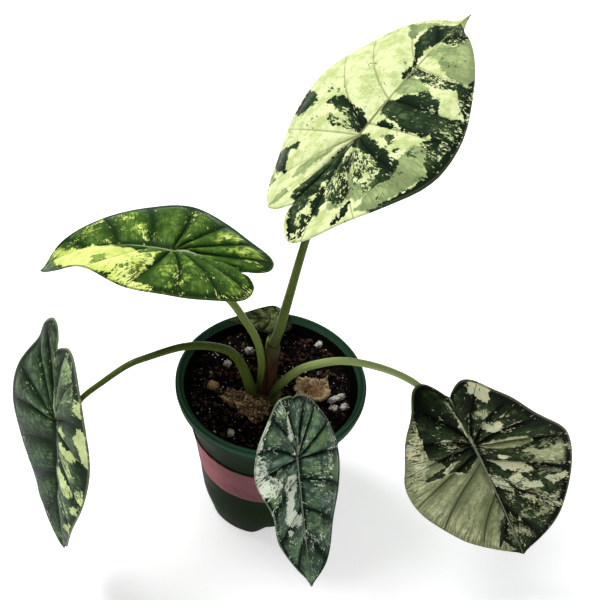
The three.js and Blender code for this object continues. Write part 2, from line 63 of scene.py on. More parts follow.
forward = Vector((0, math.cos(CAMERA_PITCH), -math.sin(CAMERA_PITCH)))
level_up = Vector((0, math.sin(CAMERA_PITCH), math.cos(CAMERA_PITCH)))
level_right = Vector((1, 0, 0))
camera_right = level_right * math.cos(CAMERA_ROLL) + level_up * math.sin(CAMERA_ROLL)
camera_up = level_up * math.cos(CAMERA_ROLL) - level_right * math.sin(CAMERA_ROLL)
camera = bpy.data.objects.new("camera", bpy.data.cameras.new("camera"))
camera.data.lens = LENS
camera.matrix_world = Matrix.Translation(CAMERA_PLACE) @ Matrix(
    (camera_right, camera_up, -forward)).transposed().to_4x4()
bpy.context.scene.collection.objects.link(camera)
bpy.context.scene.camera = camera
print("camera looks along", tuple(round(v, 2) for v in forward))

# %% [markdown]
# ## Light
# Three large soft lamps light the plant, as in a small photo studio. The strongest hangs high
# above and to the left, so that the swellings of the leaves have a light and a dark side. It is
# far away, because a near lamp lights the highest leaf much more than the low ones. The Standard
# view shows colours as they are, where a film-like view would grey the whites.

# %% Light
PLANT_MIDDLE = (0, 0, 0.18)
SKY_TINT = (0.96, 0.98, 1, 1)
SKY_STRENGTH = 0.3


def add_lamp(name, place, size, power):
    """A round soft lamp that looks at the middle of the plant."""
    lamp = bpy.data.objects.new(name, bpy.data.lights.new(name, "AREA"))
    lamp.data.shape = "DISK"
    lamp.data.size = size
    lamp.data.energy = power
    lamp.location = place
    aim = Vector(PLANT_MIDDLE) - Vector(place)
    lamp.rotation_euler = aim.to_track_quat("-Z", "Y").to_euler()
    bpy.context.scene.collection.objects.link(lamp)


add_lamp("key_lamp", (-1.2, 0.5, 2.7), 1.1, 76)
add_lamp("fill_lamp", (1.6, -2.0, 1.4), 1.8, 4)
add_lamp("back_lamp", (0.8, 2.2, 1.8), 1.6, 10)
sky = bpy.data.worlds.new("studio")
sky.use_nodes = True
sky.node_tree.nodes["Background"].inputs["Color"].default_value = SKY_TINT
sky.node_tree.nodes["Background"].inputs["Strength"].default_value = SKY_STRENGTH
bpy.context.scene.world = sky
bpy.context.scene.view_settings.view_transform = "Standard"

# %% [markdown]
# ## A small kit for finishes
# A finish is a tree of nodes that ends in one shader. Typing every node out is long, so this
# class adds nodes and links them, and its methods carry the names of what they do to a surface.
# paint and coat build up the colour in layers, as a painter would.

# %% Finish kit
def rgb(red, green, blue):
    """A colour given as 0 to 255 on screen, in the linear numbers that the shader takes."""
    linear = [((v / 255 + 0.055) / 1.055) ** 2.4 if v > 10 else v / 255 / 12.92
              for v in (red, green, blue)]
    return (*linear, 1)


class Finish:
    """A node material under construction."""

    def __init__(self, name, **shader_values):
        self.material = bpy.data.materials.new(name)
        self.material.use_nodes = True
        self.tree = self.material.node_tree
        self.shader = self.tree.nodes["Principled BSDF"]
        for socket, value in shader_values.items():
            self.shader.inputs[socket.replace("_", " ")].default_value = value

    def add(self, kind, inputs, **settings):
        """A new node. Each input is given a value, or a link where the value is a socket."""
        node = self.tree.nodes.new(kind)
        for key, value in settings.items():
            setattr(node, key, value)
        for key, value in inputs.items():
            if isinstance(value, bpy.types.NodeSocket):
                self.tree.links.new(value, node.inputs[key])
            else:
                node.inputs[key].default_value = value
        return node

    def place(self):
        return self.add("ShaderNodeTexCoord", {}).outputs["Object"]

    def flow(self):
        return self.add("ShaderNodeUVMap", {}, uv_map="flow").outputs["UV"]

    def mark(self, name, output="Fac"):
        return self.add("ShaderNodeAttribute", {}, attribute_name=name).outputs[output]

    def stretch(self, vector, scale, shift=(0, 0, 0)):
        node = self.add("ShaderNodeMapping", {"Vector": vector, "Scale": scale, "Location": shift})
        return node.outputs["Vector"]

    def noise(self, vector, scale, detail=4.0, roughness=0.6, distortion=0.0):
        return self.add("ShaderNodeTexNoise", {
            "Vector": vector, "Scale": scale, "Detail": detail, "Roughness": roughness,
            "Distortion": distortion}).outputs["Fac"]

    def cells(self, vector, scale, feature="F1"):
        return self.add("ShaderNodeTexVoronoi", {"Vector": vector, "Scale": scale},
                        feature=feature).outputs["Distance"]

    def ramp(self, value, low, high, to_low=0.0, to_high=1.0):
        """to_low where the value is low, to_high where it is high, and a soft step between."""
        return self.add("ShaderNodeMapRange", {
            "Value": value, "From Min": low, "From Max": high, "To Min": to_low,
            "To Max": to_high}, interpolation_type="SMOOTHSTEP").outputs["Result"]

    def work_out(self, operation, *values):
        return self.add("ShaderNodeMath", dict(enumerate(values)),
                        operation=operation).outputs["Value"]

    def times(self, first, second):
        return self.work_out("MULTIPLY", first, second)

    def plus(self, first, second):
        return self.work_out("ADD", first, second)

    def with_share(self, base, share, value):
        """The base, and a share of a value on top of it."""
        return self.work_out("MULTIPLY_ADD", value, share, base)

    def mix(self, factor, first, second):
        return self.add("ShaderNodeMix", {0: factor, 6: first, 7: second},
                        data_type="RGBA").outputs[2]

    def set(self, socket, value):
        self.tree.links.new(value, self.shader.inputs[socket])

    def paint(self, factor, first, second):
        """The surface's first two colours."""
        self.colour = self.mix(factor, first, second)
        self.set("Base Color", self.colour)

    def coat(self, factor, colour):
        """One more colour over the ones before, as thick as the factor says."""
        self.paint(factor, self.colour, colour)

    def bump(self, height, strength, distance):
        node = self.add("ShaderNodeBump", {
            "Height": height, "Strength": strength, "Distance": distance})
        self.set("Normal", node.outputs["Normal"])


print("a mid grey of 128 on screen is", round(rgb(128, 128, 128)[0], 3), "to the shader")

# %% [markdown]
# ### Floor
# The floor is a wide sheet of pale paper. It glows faintly, and so stays almost white under the
# lamps. It lies a hair below the pot's foot, because two faces in one plane would flicker.

# %% Floor
FLOOR_REACH = 3
FLOOR_DROP = 0.0003

floor_finish = Finish("floor_paper", Roughness=0.85, Emission_Color=(1, 1, 1, 1),
                      Emission_Strength=0.52)
floor_grain = floor_finish.noise(floor_finish.place(), 6.0)
floor_finish.paint(floor_grain, rgb(232, 233, 234), rgb(238, 238, 238))
floor = bpy.data.objects.new("floor", bpy.data.meshes.new("floor"))
floor_bm = bmesh.new()
bmesh.ops.create_grid(floor_bm, x_segments=1, y_segments=1, size=FLOOR_REACH)
bmesh.ops.translate(floor_bm, vec=(0, 0, -FLOOR_DROP), verts=floor_bm.verts)
floor_bm.to_mesh(floor.data)
floor.data.materials.append(floor_finish.material)
bpy.context.scene.collection.objects.link(floor)
print("floor laid,", 2 * FLOOR_REACH, "m wide")

# %% [markdown]
# ## A small kit for shapes
# Nearly every part of a plant is a sheet that has been bent: a blade, a stalk rolled up into a
# tube, a curl of bark. So one helper makes a flat grid with its own UV map, and each lesson
# moves the grid's points by a formula. Working in millimetres keeps the numbers readable, and
# another helper scales the piece to metres and hangs it on the plant.

# %% Grids and pieces
def flat_grid(columns, rows):
    """A grid with a UV map named flow, and how far across and up it each vertex lies, 0 to 1."""
    bm = bmesh.new()
    bm.loops.layers.uv.new("flow")
    bmesh.ops.create_grid(bm, x_segments=columns, y_segments=rows, size=1, calc_uvs=True)
    place = np.array([vertex.co for vertex in bm.verts])
    return bm, (place[:, 0] + 1) / 2, (place[:, 1] + 1) / 2


def move_vertices(bm, places):
    for vertex, place in zip(bm.verts, places):
        vertex.co = place


def add_marks(bm, **marks):
    """Numbers kept on each vertex, for the finish to read."""
    for name, values in marks.items():
        layer = bm.verts.layers.float.new(name)
        for vertex, value in zip(bm.verts, values):
            vertex[layer] = value


def finish_piece(name, bm, finish, slot, *stands_for):
    """Scale a bmesh from millimetres to metres, and make it a piece that rides with the plant."""
    bmesh.ops.scale(bm, vec=(MM, MM, MM), verts=bm.verts)
    mesh = bpy.data.meshes.new(name)
    bm.to_mesh(mesh)
    bm.free()
    mesh.shade_smooth()
    mesh.materials.append(finish.material)
    piece = bpy.data.objects.new(name, mesh)
    bpy.context.scene.collection.objects.link(piece)
    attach(piece, "root")
    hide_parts(*stands_for)
    print(name, "has", len(mesh.polygons), "faces")
    return piece


def thicken(piece, thickness):
    """Give a sheet its thickness, behind its face."""
    shell = piece.modifiers.new("thickness", "SOLIDIFY")
    shell.thickness = thickness * MM
    shell.offset = -1
    return shell


trial_bm, trial_u, _ = flat_grid(2, 1)
print("a grid of 2 by 1 faces has its columns at", sorted(set(trial_u.round(2).tolist())))
trial_bm.free()

# %% Curves and tubes
CURVE_FINENESS = 24


def curve_through(points, steps):
    """A smooth curve through points, as evenly spaced places along it, and its length."""
    points = [Vector(p) for p in points]
    points = [2 * points[0] - points[1], *points, 2 * points[-1] - points[-2]]
    dense = []
    for a, b, c, d in zip(points, points[1:], points[2:], points[3:]):
        ab, bc, cd = (max((q - p).length, 1e-6) ** 0.5 for p, q in ((a, b), (b, c), (c, d)))
        start = ((b - a) / ab - (c - a) / (ab + bc) + (c - b) / bc) * bc
        end = ((c - b) / bc - (d - b) / (bc + cd) + (d - c) / cd) * bc
        for i in range(CURVE_FINENESS):
            t = i / CURVE_FINENESS
            dense.append(b * (2 * t**3 - 3 * t**2 + 1) + start * (t**3 - 2 * t**2 + t)
                         + c * (3 * t**2 - 2 * t**3) + end * (t**3 - t**2))
    dense.append(points[-2])
    dense = np.array(dense)
    length = np.concatenate([[0], np.cumsum(np.linalg.norm(np.diff(dense, axis=0), axis=1))])
    wanted = np.linspace(0, length[-1], steps + 1)
    return np.stack([np.interp(wanted, length, dense[:, k]) for k in range(3)], 1), length[-1]


def tube(path, radius_at, sides, wobble=None):
    """Roll a grid into a tube along a path. radius_at takes the share of the way along it."""
    steps = len(path) - 1
    bm, around, along = flat_grid(sides, steps)
    tangents = np.gradient(path, axis=0)
    tangents /= np.linalg.norm(tangents, axis=1)[:, None]
    side = np.cross(tangents[0], (0.3, 1, 0.2))
    sides_out = []
    for tangent in tangents:
        side = side - tangent * side.dot(tangent)
        side = side / np.linalg.norm(side)
        sides_out.append(side)
    sides_out = np.array(sides_out)
    others = np.cross(tangents, sides_out)
    row = np.round(along * steps).astype(int)
    turn = around * 2 * math.pi
    radius = radius_at(along)
    if wobble is not None:
        radius = radius * wobble(turn, along)
    out = sides_out[row] * np.cos(turn)[:, None] + others[row] * np.sin(turn)[:, None]
    move_vertices(bm, path[row] + out * radius[:, None])
    add_marks(bm, along=along)
    bmesh.ops.remove_doubles(bm, verts=bm.verts, dist=1e-4)
    rims = [edge for edge in bm.edges if edge.is_boundary]
    bmesh.ops.holes_fill(bm, edges=rims, sides=0)
    bmesh.ops.recalc_face_normals(bm, faces=bm.faces)
    return bm


_, bend_length = curve_through([(0, 0, 0), (1, 0, 0), (1, 1, 0)], 8)
print("a bend through three points is", round(bend_length, 2), "long")

# %% [markdown]
# ## The blades as a formula
# A blade is a shield: the stalk joins it well inside its edge, so it has one long half with the
# drip tip and two lobes behind. It arches along its midrib, and both halves bend down towards the
# margin. The same few numbers as in the solid model bend a flat outline into each of the six
# blades. Sculpting would be freer, but a formula lets all six share one set of veins. The waves
# are this script's own: small steps of the margin, outwards on the flat leaf.

# %% The six blades
# Lengths are in millimetres and angles in degrees. droop_tip, droop_lobes, curl and twist are
# turns per 100 mm. swell widens the outline, in hundredths, and lift raises the margin.
LEAVES = {
    "top": dict(
        at=(32.5, 20.5, 284.5), heading=59, rise=22.5, lean=22.5, droop_tip=13, droop_lobes=-21,
        sweep=-6, twist=6, length=118, lobes=1.15, quilt=0.75,
        right=dict(fold=16, curl=77, broad=1, swell=(-7, -9, -11, -8, 0, 4, 3, 4, 4, 1),
                   lift=(-3.5, -3, -1.5, -1.5, -2.5, 1, -2.5, -7, -8.5, -1.5),
                   waves=(-2, -1, -0.5, -0.5, 0, -0.5, -0.5, -1, -0.5, -1, 0, 1.5, 0, 0,
                          -2.5, -0.5, 1, 0, 1, 0, 0),
                   veins=(1.9, 3.7, 4.5, 5.05, 6.1, 7.2, 8.4), starts=(84, 57, 28, 9, 0, 0, 0)),
        left=dict(fold=17, curl=75, broad=0.99, swell=(-1, 0, 1, 1, -1, -7, -15, -21, -16, -7),
                  lift=(-2, 0.5, 1.5, 6, 2, -5.5, -8.5, -8, -2, 0),
                  waves=(2, 2.5, -0.5, 1, 3, 3, 3, 3, 3, 3, 3, 3, 2.5, 1,
                         1, 0.5, -0.5, -0.5, 0.5, 1.5, 0),
                  veins=(1.5, 2.2, 2.95, 3.5, 5.15, 6.7, 8.3), starts=(78, 57, 28, 5, 0, 0, 0))),
    "left": dict(
        at=(-61.5, 0.5, 211), heading=169, rise=-1, lean=-8, droop_tip=50, droop_lobes=23,
        sweep=0, twist=-1, length=91.5, lobes=1.08, quilt=1,
        right=dict(fold=19, curl=71, broad=1, swell=(0, -1, 0, 0, -1, -1, -1, 2, 4, 3),
                   lift=(0.5, 3, 1.5, 1, 2, -2.5, -5, -4, -1.5, -0.5),
                   waves=(-0.5, -0.5, -0.5, -0.5, -0.5, -0.5, -0.5, -0.5, 1, 2, 3, 3, 2, 2.5,
                          2.5, 2.5, 2, 0.5, 0.5, 0, -1)),
        left=dict(fold=20, curl=67, broad=1, swell=(1, 0, -1, -1, 3, 2, 2, 2, -1, -1),
                  lift=(-2, -3, -1, 5, 0.5, -0.5, -2.5, -3.5, -2, 0),
                  waves=(0.5, 0.5, 0, 0.5, 1.5, -0.5, 0, -0.5, 1, 1.5, 0.5, 1, 2, 1,
                         2, 1, 0.5, 0.5, 0.5, 1, 1.5))),
    "far_left": dict(
        at=(-112, -68.5, 137), heading=-93.5, rise=-70.5, lean=-45, droop_tip=8, droop_lobes=-6,
        sweep=5, twist=-1, length=92, lobes=1.2, quilt=0.9,
        right=dict(fold=19, curl=69, broad=1, swell=(0, 0, 0, 0, 0, -2, -6, -5, -1, 2),
                   lift=(0.5, -1.5, -2.5, 1.5, 5, 2.5, -7, -7, -6.5, -3.5),
                   waves=(1.5, 1.5, 1.5, 2.5, 2.5, 2, 1.5, 2.5, 2.5, 2, 2, -0.5, 1.5, 1,
                          1, 0, 0, 0.5, 2.5, 2.5, -0.5)),
        left=dict(fold=20, curl=68, broad=0.97, swell=(0, -2, -5, -2, 0, 0, -1, -5, -11, -8),
                  lift=(-1, 0, 2, 1, -0.5, 0, -1.5, -3.5, -2, 0.5),
                  waves=(0.5, 1.5, 2, 2.5, 2.5, 2, 1, 1.5, 1.5, 1.5, 1.5, 1, 1, 2,
                         3, 3, 1, -0.5, -0.5, -0.5, -0.5))),
    "front": dict(
        at=(20, -80, 145.5), heading=-68, rise=-57.5, lean=13, droop_tip=5, droop_lobes=21,
        sweep=-5, twist=1, length=77.5, lobes=1.03, quilt=0.9,
        right=dict(fold=27, curl=103, broad=0.83, swell=(-2, -5, -10, -18, -9, -6, -8, -11, -14, -7),
                   lift=(0, 1, 0.5, 6.5, -1, 3, 5.5, 4.5, 4.5, 4),
                   waves=(1, 1, 0.5, 1, 1, 0.5, 1.5, 1, 0.5, 0, 0, 0, 0, 0,
                          0, 0, 0, 0, 0, 0, 0)),
        left=dict(fold=16, curl=123, broad=0.84, swell=(0, 0, -2, -2, -2, -6, -15, -21, -19, -8),
                  lift=(1, 0.5, -4.5, -3.5, -4, -6.5, -7.5, -5, 0, 1.5),
                  waves=(1, 1.5, 0.5, 1, 1, 0.5, 0, 0, 1, 1, 0.5, 0, 0, 0,
                         0, 0, 0, 0, 0, 0, 0))),
    "right": dict(
        at=(122.5, -41, 125), heading=-5, rise=-59.5, lean=-72.5, droop_tip=-14, droop_lobes=9,
        sweep=2, twist=-1, length=98.5, lobes=1.05, quilt=0.9,
        right=dict(fold=24, curl=59, broad=0.99, swell=(2, 1, 2, 1, -2, -9, -9, -5, 3, 2),
                   lift=(0.5, 1, 1, 1, 1.5, 4, 4, 2, -4, -2),
                   waves=(0, 0, 0, 0.5, 0.5, 0.5, 0.5, 2, 2.5, 1.5, 1, 0, 0.5, 1.5,
                          0.5, 0, 2.5, 3, 1.5, 0.5, -0.5),
                   veins=(1.6, 2.4, 3.5, 4.4, 5.6, 6.8, 8.2), starts=(66, 44, 15, 6, 0, 0, 0)),
        left=dict(fold=25, curl=58, broad=1.02, swell=(3, 4, 7, 8, 7, -5, -9, -8, -5, -4),
                  lift=(1, 1.5, 3, 2.5, 4.5, 7, 5, 3.5, 0.5, 2),
                  waves=(0, -0.5, -0.5, 0.5, 1, -0.5, -0.5, 0, 0, 0, 0.5, -0.5, -1, 1,
                         0.5, 0.5, 2.5, 1.5, 1, 1, 0.5))),
    "small": dict(
        at=(-2, 46, 123.5), heading=188, rise=5, lean=-2, droop_tip=30, droop_lobes=40,
        sweep=0, twist=0, length=31, lobes=0.62, quilt=0.4,
        right=dict(fold=14, curl=150, broad=0.8, swell=(0,) * 10,
                   lift=(0, 0, -1, 0, 1.5, 0, -1, 0, 0, 0)),
        left=dict(fold=10, curl=190, broad=0.8, swell=(0,) * 10,
                  lift=(0, 0, 1, 0, -1, 0, 0.5, 0, 0, 0))),
}
HALF_OUTLINE = ((0, 1), (0.03, 0.94), (0.15, 0.82), (0.32, 0.60), (0.44, 0.33), (0.485, 0.06),
                (0.46, -0.17), (0.365, -0.36), (0.245, -0.49), (0.125, -0.525), (0.045, -0.47),
                (0, -0.40))
VEINS = (2, 3, 4, 5, 6.1, 7.2, 8.4)
LAST_MIDRIB_VEIN = 4.66
NOTCH = 11
BLADE_THICKNESS = 0.8
LARGE_LEAF = 50
print(len(LEAVES), "blades, the longest", max(leaf["length"] for leaf in LEAVES.values()), "mm")


# %% Bend a flat leaf
def pose_of(leaf):
    """The blade's own axes: to its side, towards its tip and out of its face, as columns."""
    heading, rise, lean = (math.radians(leaf[k]) for k in ("heading", "rise", "lean"))
    tipward = Vector((math.cos(heading) * math.cos(rise), math.sin(heading) * math.cos(rise),
                      math.sin(rise)))
    level = Vector((math.sin(heading), -math.cos(heading), 0))
    upright = level.cross(tipward)
    side = level * math.cos(lean) + upright * math.sin(lean)
    face = upright * math.cos(lean) - level * math.sin(lean)
    return np.array([side, tipward, face]).T


def sheet_points(leaf, across, along):
    """Places on the bent sheet, for distances on the flat leaf from the stalk's joint."""
    rad = math.radians
    droop = np.where(along >= 0, rad(leaf["droop_tip"]), rad(leaf["droop_lobes"])) / 100
    curl = np.where(across >= 0, rad(leaf["right"]["curl"]), rad(leaf["left"]["curl"])) / 100
    start = np.where(across >= 0, rad(leaf["right"]["fold"]), rad(leaf["left"]["fold"]))
    end = start - curl * abs(across)
    out = np.sign(across) * (np.sin(start) - np.sin(end)) / curl
    up = (np.cos(end) - np.cos(start)) / curl
    twist = rad(leaf["twist"]) / 100 * along
    x = out * np.cos(twist) + up * np.sin(twist) + rad(leaf["sweep"]) / 200 * along**2
    z = up * np.cos(twist) - out * np.sin(twist)
    bend = droop * along
    local = np.stack([x, np.sin(bend) / droop + z * np.sin(bend),
                      (np.cos(bend) - 1) / droop + z * np.cos(bend)], 1)
    return local @ pose_of(leaf).T + leaf["at"]


def sheet_normals(leaf, across, along):
    """The way out of the bent sheet's face, from four places near each one."""
    step = 0.5
    outward = np.where(across < 0, -1, 1)
    reach = np.where(across == 0, step, step / 2) * outward
    crosswise = sheet_points(leaf, across + reach, along) - sheet_points(leaf, across - reach, along)
    lengthwise = sheet_points(leaf, across, along + step) - sheet_points(leaf, across, along - step)
    normals = np.cross(crosswise * outward[:, None], lengthwise)
    return normals / np.linalg.norm(normals, axis=1)[:, None]


joint = sheet_points(LEAVES["top"], np.zeros(1), np.zeros(1))[0]
print("the top leaf's joint is at", joint.round(1), "mm")

# %% The margin and the veins
TIP_FADE = 1.6
NOTCH_FADE = 0.5


def margin_at(leaf, half, column):
    """The flat outline of one half, and how far it lifts, at places counted in outline points."""
    points = []
    for i, (x, y) in enumerate(HALF_OUTLINE):
        inner = 0 < i < NOTCH
        scale = leaf["length"] * (1 + half["swell"][i - 1] / 100 if inner else 1)
        lobe = leaf["lobes"] if y < 0 else 1
        points.append((x * half["broad"] * scale, y * lobe * scale,
                       half["lift"][i - 1] if inner else 0))
    points = np.array([2 * np.array(points[0]) - points[1], *points,
                       2 * np.array(points[-1]) - points[-2]])
    i = np.clip(np.floor(column).astype(int), 0, NOTCH - 1)
    t = (column - i)[:, None]
    a, b, c, d = (points[i + k] for k in range(4))
    return b + 0.5 * t * (c - a + t * (2 * a - 5 * b + 4 * c - d + t * (3 * (b - c) + d - a)))


def margin_waves(leaf, half, column):
    """Small waves of the margin, as steps outwards on the flat leaf. They fade out at the tip
    and at the notch, so that both halves still meet there."""
    heights = (0, *half["waves"], 0)
    spots = np.linspace(0, NOTCH, len(heights))
    wave = sum(np.interp(column + shift, spots, heights) for shift in (-0.3, -0.1, 0.1, 0.3)) / 4
    wave = wave * np.clip(np.minimum(column / TIP_FADE, (NOTCH - column) / NOTCH_FADE), 0, 1)
    before = margin_at(leaf, half, np.maximum(column - 0.05, 0))
    after = margin_at(leaf, half, np.minimum(column + 0.05, NOTCH))
    edge = (after - before)[:, :2] / np.linalg.norm((after - before)[:, :2], axis=1)[:, None]
    return np.stack([-edge[:, 1], edge[:, 0]], 1) * wave[:, None]


def column_of(half, place):
    """A place counted in veins, from the tip round to the notch, as a place along the outline."""
    ends = (0, *half.get("veins", VEINS), NOTCH)
    return np.interp(place, range(len(ends)), ends)


def flat_point(leaf, half, place, ring):
    """Where a place of the half meets a ring, on the flat leaf, and the margin's lift there."""
    column = column_of(half, place)
    rim = margin_at(leaf, half, column)
    if "waves" in half:
        rim[:, :2] += margin_waves(leaf, half, column)
    starts = np.maximum(0, leaf["length"] * (1 - column / LAST_MIDRIB_VEIN))
    if "starts" in half:
        starts = np.interp(place, range(len(VEINS) + 2), (leaf["length"], *half["starts"], 0))
    root = np.stack([0 * column, starts], 1)
    chord = rim[:, :2] - root
    bow = 0.14 * np.minimum(1, (NOTCH - column) / 4)
    elbow = (root + rim[:, :2]) / 2 + np.stack([chord[:, 1], -chord[:, 0]], 1) * bow[:, None]
    t = ring[:, None]
    return root * (1 - t) ** 2 + elbow * 2 * t * (1 - t) + rim[:, :2] * t**2, rim[:, 2] * ring**2


widest = margin_at(LEAVES["top"], LEAVES["top"]["right"], np.linspace(0, NOTCH, 99))[:, 0].max()
print("the right half of the top leaf is", round(float(widest)), "mm wide")

# %% [markdown]
# ## Patches of colour
# Variegation follows how the leaf grew: whole wedges between two veins lack their green, and
# elsewhere the green breaks up into specks. So each blade gets a short list of patches, drawn
# on the flat leaf in millimetres from the joint. A patch is kept as the distance to its edge,
# and the finish roughens that edge with noise. Painting a texture would fix one resolution.

